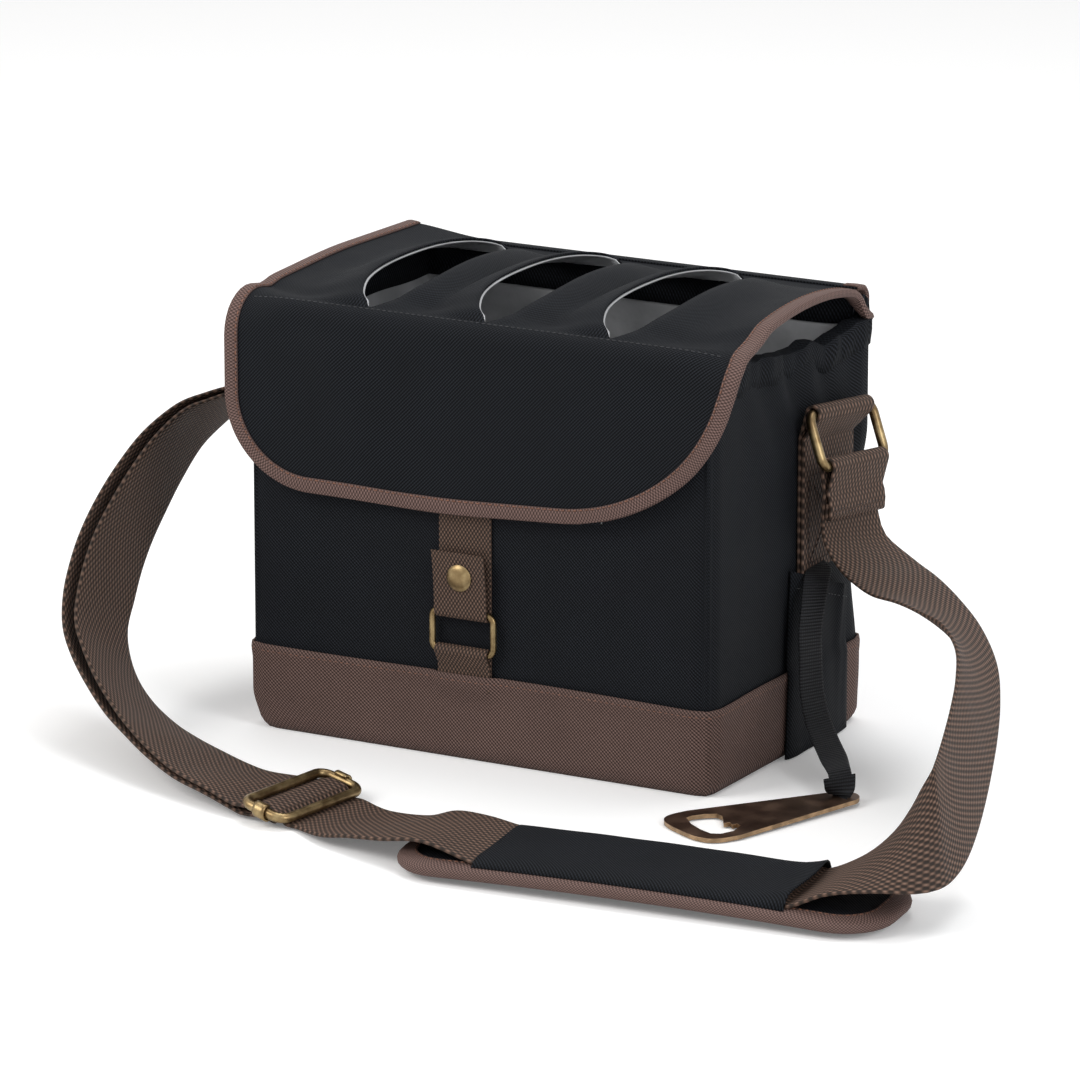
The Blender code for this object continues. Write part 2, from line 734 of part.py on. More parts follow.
def side_ring(name, middle, bar, hang):
    half = WEB_WIDTH / 2 + RING_SIDE_ROOM + RING_WIRE / 2
    loop = rounded_rectangle(half, RING_PITCH / 2, RING_CORNER, 5)
    points = [middle + bar * u + hang * (RING_PITCH / 2 + v) for u, v in loop]
    return bent_wire(name, points, RING_WIRE, old_brass, middle)


def looped_end(name, centre, bar, way, length, look, origin):
    """A strap's end folded over a bar, with both layers leaving the same way."""
    out = bar.cross(way)
    layer = (WEB + GAP) / 2
    join = (-layer, STRAP_JOIN)
    arrive = tangent_angle((0, 0), web_loop, join, 1)
    path = [(-layer, length), join]
    path += arc((0, 0), web_loop, arrive, 540 - arrive, 12)
    path += [(layer, STRAP_JOIN), (layer, length)]
    outline = strip_outline(path, WEB)
    edges = []
    for side in (-WEB_WIDTH / 2, WEB_WIDTH / 2):
        edges.append([centre + bar * side + out * u + way * v for u, v in outline])
    keep(loft(edges), name, look, origin)
    return centre + way * length, out * layer


right_set = ring_frame(1, RIGHT_YAW, RIGHT_ROLL, RIGHT_TILT, RING_STANDOFF)
right_middle, right_bar, right_hang = right_set
left_set = ring_frame(-1, LEFT_YAW, LEFT_ROLL, LEFT_TILT, LEFT_STANDOFF)
left_middle, left_bar, left_hang = left_set
side_tab("side_tab_right", 1, right_middle, right_bar)
side_tab("side_tab_left", -1, left_middle, left_bar)
side_ring("ring_right", right_middle, right_bar, right_hang)
side_ring("ring_left", left_middle, left_bar, left_hang)

right_low = right_middle + right_hang * RING_PITCH
right_way = Vector((0, 0, -1))
right_way = (right_way - right_bar * right_way.dot(right_bar)).normalized()
right_tip, _ = looped_end(
    "strap_end_right", right_low, right_bar, right_way, STRAP_END, brown_webbing, right_middle
)
left_low = left_middle + left_hang * RING_PITCH
left_way = Vector((-0.75, -0.55, -0.30))
left_way = (left_way - left_bar * left_way.dot(left_bar)).normalized()
left_tip, left_layer = looped_end(
    "strap_turn_left", left_low, left_bar, left_way, LEFT_END, brown_webbing, left_middle
)


# Slider: a wire frame with a flat bar crimped on it, and the strap's sewn end round that bar.

SLIDER_SPOT = (-0.032, -0.177)
SLIDER_TURN = -7.0
SLIDER_PITCH = 0.022
SLIDER_CORNER = 0.0030
SLIDER_HIGH = 0.0096
SLIDER_LOW = 0.0050
CENTRE_BAR = 0.0060
CENTRE_BAR_SHEET = 0.0012
CLIP_WRAP = 210.0

turn = math.radians(SLIDER_TURN)
slide_way = Vector((math.cos(turn), math.sin(turn), 0))
cross_way = Vector((-math.sin(turn), math.cos(turn), 0))
slider_middle = Vector((*SLIDER_SPOT, (SLIDER_HIGH + SLIDER_LOW) / 2))
slider_slope = (SLIDER_LOW - SLIDER_HIGH) / SLIDER_PITCH
slider_half = WEB_WIDTH / 2 + RING_SIDE_ROOM + RING_WIRE / 2


def on_slider(along, across, up):
    """A place on the slider, with its height above the floor."""
    return Vector((*SLIDER_SPOT, 0)) + slide_way * along + cross_way * across + Z_AXIS * up


frame_points = [
    on_slider(a, b, slider_middle.z + a * slider_slope)
    for a, b in rounded_rectangle(SLIDER_PITCH / 2, slider_half, SLIDER_CORNER, 5)
]
bent_wire("slider_frame", frame_points, RING_WIRE, old_brass, slider_middle)

clip_radius = RING_WIRE / 2 + GAP + CENTRE_BAR_SHEET / 2
bar_level = slider_middle.z - clip_radius
clip_path = arc((-slider_half, slider_middle.z), clip_radius, 270 - CLIP_WRAP, 270, 8)
clip_path += arc((slider_half, slider_middle.z), clip_radius, 270, 270 + CLIP_WRAP, 8)
clip = strip_outline(clip_path, CENTRE_BAR_SHEET)
edges = []
for along in (-CENTRE_BAR / 2, CENTRE_BAR / 2):
    edges.append([on_slider(along, b, z + along * slider_slope) for b, z in clip])
keep(loft(edges), "slider_bar", old_brass, slider_middle)

# The sewn end goes under the bar, round its right edge and back over it, and is stitched down.

END_RUN = 0.0120
END_BACK = 0.0085
bar_edge = CENTRE_BAR / 2
edge_drop = bar_edge * slider_slope
layer_drop = CENTRE_BAR_SHEET / 2 + GAP + WEB / 2
end_level = bar_level - layer_drop
fold_centre = (bar_edge, bar_level + edge_drop)
end_path = [(-END_RUN, end_level), (-bar_edge, end_level - edge_drop)]
end_path += arc(fold_centre, layer_drop, -90, 90, 8)
end_path += [(-bar_edge, bar_level + layer_drop - edge_drop), (-END_BACK, end_level + WEB + 2 * GAP)]
end_outline = strip_outline(end_path, WEB)
edges = [[on_slider(a, b, z) for a, z in end_outline] for b in (-WEB_WIDTH / 2, WEB_WIDTH / 2)]
keep(loft(edges), "strap_end_slider", brown_webbing, slider_middle)


# Shoulder pad: crowned core, tape round its edge, and the sleeve that the strap runs through.

PAD_SPOT = (0.157, -0.203)
PAD_TURN = 4.5
PAD_LENGTH = 0.228
PAD_WIDTH = 0.060
PAD_CORNER = 0.024
PAD_EDGE = 0.0055
PAD_CROWN = 0.0085
PAD_LEG = 0.0075
PAD_EDGE_INSET = 0.0012
SLEEVE_LENGTH = 0.145
SLEEVE_CLOTH = 0.0008

pad_turn = math.radians(PAD_TURN)
pad_along = Vector((math.cos(pad_turn), math.sin(pad_turn), 0))
pad_across = Vector((-math.sin(pad_turn), math.cos(pad_turn), 0))
pad_origin = Vector((*PAD_SPOT, 0))
pad_low = GAP


def on_pad(along, across, up):
    return pad_origin + pad_along * along + pad_across * across + Z_AXIS * up


def pad_ring(inset, height, steps=6):
    half_x = PAD_LENGTH / 2 - inset
    half_y = PAD_WIDTH / 2 - inset
    loop = rounded_rectangle(half_x, half_y, PAD_CORNER - inset, steps)
    return [on_pad(u, v, height) for u, v in loop]


core_rings = [
    pad_ring(TAPE + GAP + PAD_EDGE_INSET, pad_low),
    pad_ring(TAPE + GAP, pad_low + PAD_EDGE_INSET),
    pad_ring(TAPE + GAP, pad_low + PAD_EDGE - PAD_EDGE_INSET),
    pad_ring(TAPE + GAP + PAD_EDGE_INSET, pad_low + PAD_EDGE),
    pad_ring(PAD_LEG, (PAD_EDGE + PAD_CROWN) / 2),
    pad_ring(2 * PAD_LEG, PAD_CROWN),
]
keep(loft(core_rings), "pad_core", black_cloth, pad_origin)

edge_loop = rounded_rectangle(PAD_LENGTH / 2, PAD_WIDTH / 2, PAD_CORNER, 6)
corner_u = PAD_LENGTH / 2 - PAD_CORNER
corner_v = PAD_WIDTH / 2 - PAD_CORNER
tape_high = pad_low + PAD_EDGE + GAP
tape_sections = []
for u, v in edge_loop:
    centre = Vector((math.copysign(corner_u, u), math.copysign(corner_v, v)))
    out = (Vector((u, v)) - centre).normalized()
    ring = [
        (0, pad_low + PAD_EDGE_INSET),
        (0, tape_high + TAPE),
        (-TAPE - PAD_LEG, tape_high + TAPE + (PAD_CROWN - PAD_EDGE) / 2),
        (-TAPE - PAD_LEG, tape_high + (PAD_CROWN - PAD_EDGE) / 2),
        (-TAPE, tape_high),
        (-TAPE, pad_low + PAD_EDGE_INSET),
    ]
    tape_sections.append([on_pad(u + out.x * s, v + out.y * s, z) for s, z in ring])
keep(loft(tape_sections, closed=True), "pad_binding", brown_cloth, pad_origin)

strap_level = PAD_CROWN + GAP + WEB / 2
sleeve_level = strap_level + WEB / 2 + GAP + SLEEVE_CLOTH / 2
sleeve_foot = PAD_CROWN + GAP + SLEEVE_CLOTH / 2
web_half = WEB_WIDTH / 2
sleeve_path = [
    (-web_half - 3 * SLEEVE_CLOTH, sleeve_foot),
    (-web_half - 2 * SLEEVE_CLOTH, sleeve_level - GAP),
    (-web_half, sleeve_level),
    (web_half, sleeve_level),
    (web_half + 2 * SLEEVE_CLOTH, sleeve_level - GAP),
    (web_half + 3 * SLEEVE_CLOTH, sleeve_foot),
]
sleeve = strip_outline(sleeve_path, SLEEVE_CLOTH)
edges = [[on_pad(a, v, z) for v, z in sleeve] for a in (-SLEEVE_LENGTH / 2, SLEEVE_LENGTH / 2)]
keep(loft(edges), "pad_sleeve", black_cloth, pad_origin)


# The free strap. Each route is a list of places, in metres, with the direction of the width.

STRAP_STEP = 0.010
sleeve_right = on_pad(SLEEVE_LENGTH / 2, 0, strap_level)
sleeve_left = on_pad(-SLEEVE_LENGTH / 2, 0, strap_level)
flat_lean = -pad_across
STRAP_LEAD = 0.004
WEAVE_END = 0.016

# Through the slider the strap goes under the right bar, over the sewn end, under the left bar.
over_fold = layer_drop + WEB + GAP
under_bar = RING_WIRE / 2 + GAP + WEB / 2
right_bar_spot = (SLIDER_PITCH / 2, SLIDER_LOW)
left_bar_spot = (-SLIDER_PITCH / 2, SLIDER_HIGH)
between = Vector(right_bar_spot) - Vector(fold_centre)
swing = math.acos((over_fold + under_bar) / between.length)
meet = math.degrees(math.atan2(between.y, between.x) + swing)
weave = [(right_bar_spot[0] + STRAP_LEAD, right_bar_spot[1] - under_bar)]
weave += arc(right_bar_spot, under_bar, 270, 180 + meet, 4)
weave += arc(fold_centre, over_fold, meet, 90, 4)
weave += [(-bar_edge, bar_level + over_fold - edge_drop)]
weave_end = (-WEAVE_END, left_bar_spot[1] - under_bar - GAP)
weave += [(left_bar_spot[0], left_bar_spot[1] - under_bar), weave_end]

strap_long_route = [
    (right_tip + right_way * GAP, right_bar),
    (right_tip + right_way * STRAP_LEAD, right_bar),
    ((0.1375, 0.031, 0.098), (0.20, 0.96, -0.18)),
    ((0.147, 0.028, 0.089), (0.36, 0.92, -0.16)),
    ((0.160, 0.019, 0.085), (0.46, 0.88, -0.14)),
    ((0.177, 0.006, 0.082), (0.48, 0.86, -0.20)),
    ((0.196, -0.009, 0.080), (0.46, 0.80, -0.38)),
    ((0.216, -0.026, 0.078), (0.38, 0.68, -0.60)),
    ((0.234, -0.048, 0.075), (0.28, 0.54, -0.78)),
    ((0.248, -0.074, 0.071), (0.18, 0.44, -0.87)),
    ((0.260, -0.101, 0.065), (0.17, 0.40, -0.89)),
    ((0.271, -0.128, 0.058), (0.16, 0.38, -0.90)),
    ((0.280, -0.154, 0.051), (0.15, 0.36, -0.91)),
    ((0.285, -0.174, 0.046), (0.12, 0.30, -0.94)),
    ((0.287, -0.187, 0.042), (0.05, 0.12, -0.99)),
    ((0.285, -0.197, 0.0395), (0.00, 0.00, -1.00)),
    ((0.279, -0.2035, 0.0375), (0.00, -0.08, -1.00)),
    ((0.269, -0.205, 0.034), (0.05, -0.45, -0.89)),
    ((0.257, -0.204, 0.027), (0.06, -0.80, -0.60)),
    ((0.247, -0.201, 0.0185), (0.07, -0.95, -0.28)),
    ((0.2383, -0.1975, 0.0110), (0.20, -0.98, 0.16)),
    (sleeve_right, flat_lean),
    (on_pad(SLEEVE_LENGTH / 2 - STRAP_STEP, 0, strap_level), flat_lean),
    (on_pad(0, 0, strap_level), flat_lean),
    (on_pad(STRAP_STEP - SLEEVE_LENGTH / 2, 0, strap_level), flat_lean),
    (sleeve_left, flat_lean),
    ((0.068, -0.2085, 0.0125), (0.06, -0.98, -0.12)),
    ((0.048, -0.203, 0.014), (0.02, -0.97, -0.18)),
    ((0.026, -0.194, 0.010), (-0.06, -0.99, -0.10)),
    ((0.004, -0.186, 0.0055), (-0.12, -0.99, 0.00)),
]
strap_long_route += [(on_slider(along, 0, up), -cross_way) for along, up in weave]
keep(webbing_run(strap_long_route, WEB_WIDTH, WEB, STRAP_STEP), "strap_long", brown_webbing)

strap_upper_route = [
    (on_slider(weave_end[0] - GAP, 0, weave_end[1]), -cross_way),
    (on_slider(weave_end[0] - STRAP_LEAD, 0, weave_end[1]), -cross_way),
    ((-0.070, -0.170, 0.0070), (-0.08, -0.97, 0.11)),
    ((-0.088, -0.163, 0.0082), (-0.18, -0.96, 0.17)),
    ((-0.106, -0.155, 0.0112), (-0.21, -0.93, 0.25)),
    ((-0.123, -0.147, 0.0150), (-0.18, -0.91, 0.34)),
    ((-0.139, -0.138, 0.0190), (-0.12, -0.89, 0.41)),
    ((-0.155, -0.129, 0.0260), (-0.08, -0.86, 0.48)),
    ((-0.168, -0.120, 0.034), (-0.05, -0.84, 0.52)),
    ((-0.178, -0.111, 0.043), (-0.04, -0.84, 0.53)),
    ((-0.184, -0.101, 0.053), (0.00, -0.82, 0.56)),
    ((-0.187, -0.090, 0.064), (0.00, -0.81, 0.58)),
    ((-0.189, -0.079, 0.075), (0.03, -0.81, 0.58)),
    ((-0.190, -0.066, 0.086), (0.08, -0.80, 0.59)),
    ((-0.189, -0.053, 0.098), (0.13, -0.78, 0.61)),
    ((-0.188, -0.037, 0.110), (0.20, -0.77, 0.61)),
    ((-0.185, -0.020, 0.1210), (0.30, -0.77, 0.56)),
    ((-0.1805, -0.006, 0.1265), (0.36, -0.81, 0.45)),
    ((-0.1755, 0.0045, 0.1305), (0.38, -0.84, 0.36)),
    ((-0.1693, 0.0125, 0.1336), (0.36, -0.88, 0.27)),
    (left_tip + left_way * STRAP_LEAD - left_layer, -left_bar),
    (left_tip + left_way * GAP - left_layer, -left_bar),
]
keep(webbing_run(strap_upper_route, WEB_WIDTH, WEB, STRAP_STEP), "strap_upper", brown_webbing)

strap_lower_route = [
    (on_slider(-END_RUN - GAP, 0, end_level), -cross_way),
    (on_slider(-END_RUN - STRAP_LEAD, 0, end_level), -cross_way),
    ((-0.070, -0.170, 0.0045), (-0.08, -0.97, 0.10)),
    ((-0.0885, -0.1635, 0.0058), (-0.18, -0.96, 0.16)),
    ((-0.107, -0.156, 0.0086), (-0.21, -0.93, 0.25)),
    ((-0.1245, -0.148, 0.0119), (-0.18, -0.91, 0.34)),
    ((-0.1415, -0.1395, 0.0153), (-0.12, -0.89, 0.41)),
    ((-0.158, -0.131, 0.0222), (-0.08, -0.86, 0.48)),
    ((-0.1725, -0.122, 0.0303), (-0.05, -0.84, 0.52)),
    ((-0.1835, -0.1125, 0.040), (-0.04, -0.84, 0.53)),
    ((-0.191, -0.102, 0.0513), (0.00, -0.82, 0.56)),
    ((-0.1945, -0.0905, 0.063), (0.00, -0.81, 0.58)),
    ((-0.1965, -0.0795, 0.0745), (0.03, -0.81, 0.58)),
    ((-0.1975, -0.0665, 0.0865), (0.08, -0.80, 0.59)),
    ((-0.196, -0.0535, 0.099), (0.13, -0.78, 0.61)),
    ((-0.194, -0.037, 0.1115), (0.20, -0.77, 0.61)),
    ((-0.1887, -0.020, 0.1229), (0.30, -0.77, 0.56)),
    ((-0.1829, -0.006, 0.1289), (0.36, -0.81, 0.45)),
    ((-0.1770, 0.005, 0.1328), (0.38, -0.84, 0.36)),
    ((-0.1704, 0.0127, 0.1357), (0.36, -0.88, 0.27)),
    (left_tip + left_way * STRAP_LEAD + left_layer, -left_bar),
    (left_tip + left_way * GAP + left_layer, -left_bar),
]
keep(webbing_run(strap_lower_route, WEB_WIDTH, WEB, STRAP_STEP), "strap_lower", brown_webbing)


# Side pocket for the opener, open at the top and sewn shut at its foot.

POCKET_Y = 0.025
POCKET_WIDTH = 0.060
POCKET_HEIGHT = 0.072
POCKET_MOUTH = 0.0062
POCKET_FOOT = 0.0016
POCKET_FLOOR = 0.0060

pocket_back = band_half_x + GAP
pocket_half = POCKET_WIDTH / 2
pocket_wedge = [
    (pocket_back, 0),
    (pocket_back + POCKET_FOOT, 0),
    (pocket_back + POCKET_MOUTH + CLOTH, POCKET_HEIGHT),
    (pocket_back, POCKET_HEIGHT),
]
pocket_span = (POCKET_Y - pocket_half, POCKET_Y + pocket_half)
pocket_shape = prism(pocket_wedge, X_AXIS, Z_AXIS, Y_AXIS, *pocket_span)
pocket = keep(pocket_shape, "side_pocket", black_cloth)
floor_face = pocket_back + (POCKET_MOUTH - POCKET_FOOT + CLOTH) * POCKET_FLOOR / POCKET_HEIGHT
hollow_wedge = [
    (pocket_back - POCKET_FOOT, POCKET_FLOOR),
    (floor_face, POCKET_FLOOR),
    (pocket_back + POCKET_MOUTH, POCKET_HEIGHT),
    (pocket_back + POCKET_MOUTH, POCKET_HEIGHT + POCKET_FLOOR),
    (pocket_back - POCKET_FOOT, POCKET_HEIGHT + POCKET_FLOOR),
]
hollow_span = (pocket_span[0] + CLOTH, pocket_span[1] - CLOTH)
hollow = prism(hollow_wedge, X_AXIS, Z_AXIS, Y_AXIS, *hollow_span)
pocket_cutter = keep(hollow, "pocket_hollow", black_cloth)
pocket_cutter.hide_render = True
pocket_cutter.display_type = "WIRE"
pocket_cutter.hide_set(True)
opened = pocket.modifiers.new("hollow", "BOOLEAN")
opened.operation = "DIFFERENCE"
opened.object = pocket_cutter


# Bottle opener: a tapered plate with a cap slot and a hole for its tether.

OPENER_SPOT = (0.1705, -0.0515)
OPENER_TURN = 241.0
OPENER_SHEET = 0.0020
OPENER_REACH = 0.087
OPENER_TIP = 0.0080
OPENER_HEAD = 0.0205
OPENER_HEAD_PLACE = 0.0675
SLOT_NEAR = 0.056
SLOT_FAR = 0.075
SLOT_HALF = 0.0135
TOOTH = 0.0045
TETHER_WIDTH = 0.015
TETHER = 0.0010
TETHER_GATHER = 0.0085
TETHER_FOOT = 0.0065
TETHER_RISE = 0.0085

tether_stem = 2 * TETHER
opener_lift = TETHER + 2 * GAP
opener_turn = math.radians(OPENER_TURN)
opener_drop = (GAP - opener_lift) / OPENER_REACH
opener_along = Vector((math.cos(opener_turn), math.sin(opener_turn), opener_drop))
opener_along.normalize()
opener_across = Vector((-math.sin(opener_turn), math.cos(opener_turn), 0))
opener_up = opener_along.cross(opener_across)
opener_spot = Vector((*OPENER_SPOT, opener_lift))


def opener_prism(outline, low, high):
    shape = prism(outline, opener_along, opener_across, opener_up, low, high)
    bmesh.ops.translate(shape, verts=shape.verts, vec=opener_spot)
    return shape


head_reach = OPENER_REACH - OPENER_HEAD_PLACE
head = [
    (OPENER_HEAD_PLACE + head_reach * math.cos(t), OPENER_HEAD * math.sin(t))
    for t in (math.pi / 2 * (1 - i / 6) for i in range(13))
]
tail = [
    (-OPENER_TIP * math.cos(t), -OPENER_TIP * math.sin(t))
    for t in (math.pi / 2 * (1 - i / 4) for i in range(9))
]
plate_outline = head + tail
plate = opener_prism(plate_outline, 0, OPENER_SHEET)
opener = keep(plate, "opener", old_copper, opener_spot)
slot_corner = SLOT_HALF / 2
cap_slot = [
    (SLOT_FAR, 0),
    (SLOT_FAR - TOOTH / 3, SLOT_HALF - slot_corner / 2),
    (SLOT_FAR - TOOTH, SLOT_HALF),
    (SLOT_NEAR + TOOTH, SLOT_HALF),
    (SLOT_NEAR, SLOT_HALF - slot_corner),
    (SLOT_NEAR, TOOTH),
    (SLOT_NEAR + TOOTH, TOOTH / 2),
    (SLOT_NEAR + TOOTH, -TOOTH / 2),
    (SLOT_NEAR, -TOOTH),
    (SLOT_NEAR, -SLOT_HALF + slot_corner),
    (SLOT_NEAR + TOOTH, -SLOT_HALF),
    (SLOT_FAR - TOOTH, -SLOT_HALF),
    (SLOT_FAR - TOOTH / 3, -SLOT_HALF + slot_corner / 2),
]
hole_half = tether_stem / 2 + GAP
hole_room = TETHER_GATHER / 2 + GAP
tether_hole = [
    (-hole_half, -hole_room),
    (hole_half, -hole_room),
    (hole_half, hole_room),
    (-hole_half, hole_room),
]
opener_cuts = bmesh.new()
for outline in (cap_slot, tether_hole):
    hole = opener_prism(outline, -OPENER_SHEET, 2 * OPENER_SHEET)
    bmesh.ops.recalc_face_normals(hole, faces=hole.faces)
    spare = bpy.data.meshes.new("hole")
    hole.to_mesh(spare)
    hole.free()
    opener_cuts.from_mesh(spare)
opener_cutter = keep(opener_cuts, "opener_holes", old_copper)
opener_cutter.hide_render = True
opener_cutter.display_type = "WIRE"
opener_cutter.hide_set(True)
cut = opener.modifiers.new("holes", "BOOLEAN")
cut.operation = "DIFFERENCE"
cut.object = opener_cutter


# The ribbon's end, gathered and doubled, goes through the hole and is folded flat beneath it.

foot_top = -GAP
foot_low = foot_top - TETHER
tether_tee = [
    (-TETHER_FOOT / 2, foot_low),
    (TETHER_FOOT / 2, foot_low),
    (TETHER_FOOT / 2, foot_top),
    (tether_stem / 2, foot_top),
    (tether_stem / 2, TETHER_RISE),
    (-tether_stem / 2, TETHER_RISE),
    (-tether_stem / 2, foot_top),
    (-TETHER_FOOT / 2, foot_top),
]
gather = TETHER_GATHER / 2
tee = prism(tether_tee, opener_along, Z_AXIS, opener_across, -gather, gather)
bmesh.ops.translate(tee, verts=tee.verts, vec=opener_spot)
keep(tee, "tether_end", black_ribbon, opener_spot)


# Tether: black ribbed ribbon from under the right tab's foot down to the opener.

tether_top = half_width + GAP + TETHER / 2
tether_route = [
    ((tether_top, 0.022, TAB_FOOT - GAP), Y_AXIS),
    ((tether_top, 0.022, TAB_FOOT - STRAP_LEAD), Y_AXIS),
    ((0.1190, 0.0215, 0.0778), (0.00, 1.00, -0.05)),
    ((0.1245, 0.0185, 0.0762), (0.05, 0.99, -0.15)),
    ((0.1288, 0.0130, 0.0720), (0.10, 0.97, -0.20)),
    ((0.1310, 0.0040, 0.0630), (0.16, 0.96, -0.20)),
    ((0.1315, -0.0060, 0.0510), (0.22, 0.95, -0.15)),
    ((0.1340, -0.0130, 0.0380), (0.34, 0.93, -0.05)),
    ((0.1400, -0.0170, 0.0265), (0.50, 0.86, 0.00)),
    ((0.1490, -0.0245, 0.0195), (0.62, 0.78, 0.00)),
    ((0.1590, -0.0340, 0.0150), (0.75, 0.66, 0.00)),
    (opener_spot + Z_AXIS * (TETHER_RISE + STRAP_LEAD), opener_across),
    (opener_spot + Z_AXIS * (TETHER_RISE + GAP), opener_across),
]
tether = webbing_run(tether_route, TETHER_WIDTH, TETHER, TETHER_WIDTH / 2)
keep(tether, "tether_ribbon", black_ribbon)
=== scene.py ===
import math

import bmesh
import bpy
from mathutils import Matrix, Vector


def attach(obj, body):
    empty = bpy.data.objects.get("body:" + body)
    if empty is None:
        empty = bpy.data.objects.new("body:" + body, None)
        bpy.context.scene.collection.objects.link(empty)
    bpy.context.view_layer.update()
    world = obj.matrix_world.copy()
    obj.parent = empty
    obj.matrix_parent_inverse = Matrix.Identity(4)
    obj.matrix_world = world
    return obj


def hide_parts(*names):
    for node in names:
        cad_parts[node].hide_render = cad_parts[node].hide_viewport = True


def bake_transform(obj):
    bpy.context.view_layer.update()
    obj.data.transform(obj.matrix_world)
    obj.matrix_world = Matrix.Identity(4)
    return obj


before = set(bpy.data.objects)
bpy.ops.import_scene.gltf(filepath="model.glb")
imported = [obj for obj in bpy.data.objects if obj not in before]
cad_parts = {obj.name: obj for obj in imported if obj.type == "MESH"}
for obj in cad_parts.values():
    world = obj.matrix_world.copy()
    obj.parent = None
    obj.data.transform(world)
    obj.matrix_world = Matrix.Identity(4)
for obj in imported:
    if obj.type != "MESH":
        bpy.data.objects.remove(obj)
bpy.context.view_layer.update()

# Camera, soft lamps and the pale floor.
# The camera stands to the front right of the bag, a little above it, as in the photograph.

azimuth, elevation = math.radians(29.2213), math.radians(15.0564)
SENSOR_WIDTH, FOCAL_PIXELS, PHOTO_WIDTH, STAND_OFF = 36, 7182.25, 1080, 3.2833
away = Vector(
    (math.sin(azimuth) * math.cos(elevation), -math.cos(azimuth) * math.cos(elevation), math.sin(elevation))
)
sideways = Vector((math.cos(azimuth), math.sin(azimuth), 0))
upwards = away.cross(sideways)
lens = bpy.data.cameras.new("camera")
lens.sensor_fit = "HORIZONTAL"
lens.sensor_width = SENSOR_WIDTH
lens.lens = SENSOR_WIDTH * FOCAL_PIXELS / PHOTO_WIDTH
camera = bpy.data.objects.new("camera", lens)
bpy.context.scene.collection.objects.link(camera)
stand = Vector((-0.0111, 0, 0.0851)) + away * STAND_OFF
camera.matrix_world = Matrix.Translation(stand) @ Matrix((sideways, upwards, away)).transposed().to_4x4()
bpy.context.scene.camera = camera
bpy.context.scene.view_settings.view_transform = "Standard"


def lamp(name, place, aim, size, power, colour):
    light = bpy.data.lights.new(name, "AREA")
    light.shape = "RECTANGLE"
    light.size, light.size_y = size
    light.energy = power
    light.color = colour
    holder = bpy.data.objects.new(name, light)
    turn = (Vector(aim) - Vector(place)).to_track_quat("-Z", "Y").to_matrix().to_4x4()
    holder.matrix_world = Matrix.Translation(place) @ turn
    bpy.context.scene.collection.objects.link(holder)


lamp("softbox_left", (-1.3, -1.5, 1.6), (0, 0, 0.1), (1.2, 1.2), 26, (1, 0.99, 0.97))
lamp("softbox_right", (1.9, -0.7, 1.0), (0.05, 0, 0.1), (0.8, 1.2), 15, (0.96, 0.98, 1))
lamp("softbox_top", (0.1, 0.5, 1.9), (0, 0, 0.1), (1.4, 1.0), 14, (1, 1, 1))


class Shade:
    """A shader socket that adds Math nodes as Python works out a sum on it."""

    def __init__(self, tree, socket):
        self.tree = tree
        self.socket = socket

    def maths(self, operation, *terms):
        made = self.tree.nodes.new("ShaderNodeMath")
        made.operation = operation
        for place, term in zip(made.inputs, terms):
            if isinstance(term, Shade):
                self.tree.links.new(term.socket, place)
            else:
                place.default_value = term
        return Shade(self.tree, made.outputs[0])

    def __add__(self, other):
        return self.maths("ADD", self, other)

    def __sub__(self, other):
        return self.maths("SUBTRACT", self, other)

    def __mul__(self, other):
        return self.maths("MULTIPLY", self, other)

    def __pow__(self, other):
        return self.maths("POWER", self, other)

    __radd__ = __add__

    def wave(self, pitch):
        """A sine that turns over once in each pitch, in metres."""
        return self.maths("SINE", self * (math.pi / pitch))

    def between(self, low, high):
        """0 below low, 1 above high and a smooth step from one to the other."""
        made = self.tree.nodes.new("ShaderNodeMapRange")
        made.interpolation_type = "SMOOTHSTEP"
        self.tree.links.new(self.socket, made.inputs[0])
        made.inputs[1].default_value, made.inputs[2].default_value = low, high
        return Shade(self.tree, made.outputs[0])

    def output(self, number):
        return Shade(self.tree, self.socket.node.outputs[number])


class Finish:
    """One material, with one method that adds any node to it."""

    def __init__(self, name, settings):
        self.material = bpy.data.materials.new(name)
        self.material.use_nodes = True
        self.tree = self.material.node_tree
        self.surface = self.tree.nodes["Principled BSDF"]
        for socket, value in settings.items():
            self.surface.inputs[socket].default_value = value

    def node(self, kind, settings, values):
        made = self.tree.nodes.new(kind)
        for setting, value in settings.items():
            setattr(made, setting, value)
        for place, value in values.items():
            if isinstance(value, Shade):
                self.tree.links.new(value.socket, made.inputs[place])
            else:
                made.inputs[place].default_value = value
        return Shade(self.tree, made.outputs[0])

    def blend(self, share, one, other):
        return self.node("ShaderNodeMix", {"data_type": "RGBA"}, {0: share, 6: one, 7: other}).output(2)

    def noise(self, scale, detail=3):
        where = self.node("ShaderNodeTexCoord", {}, {}).output(3)
        return self.node("ShaderNodeTexNoise", {}, {"Vector": where, "Scale": scale, "Detail": detail})

    def feed(self, socket, value):
        self.tree.links.new(value.socket, self.surface.inputs[socket])

    def bump(self, height, depth, strength=1.0, under=None):
        values = {"Strength": strength, "Distance": depth, "Height": height}
        if under:
            values["Normal"] = under
        return self.node("ShaderNodeBump", {}, values)


def plain(name, colour, spread, roughness, metallic=0.0, scale=90, depth=0.0):
    """A finish with no weave: a colour that wanders a little, and roughness that follows it."""
    made = Finish(name, {"Metallic": metallic})
    drift = made.noise(scale)
    deep = tuple(part * (1 - spread) for part in colour) + (1,)
    pale = tuple(min(part * (1 + spread), 1) for part in colour) + (1,)
    made.feed("Base Color", made.blend(drift.between(0.3, 0.7), deep, pale))
    made.feed("Roughness", roughness - 0.12 + drift * 0.24)
    if depth:
        made.feed("Normal", made.bump(drift, depth, 0.6))
    return made.material


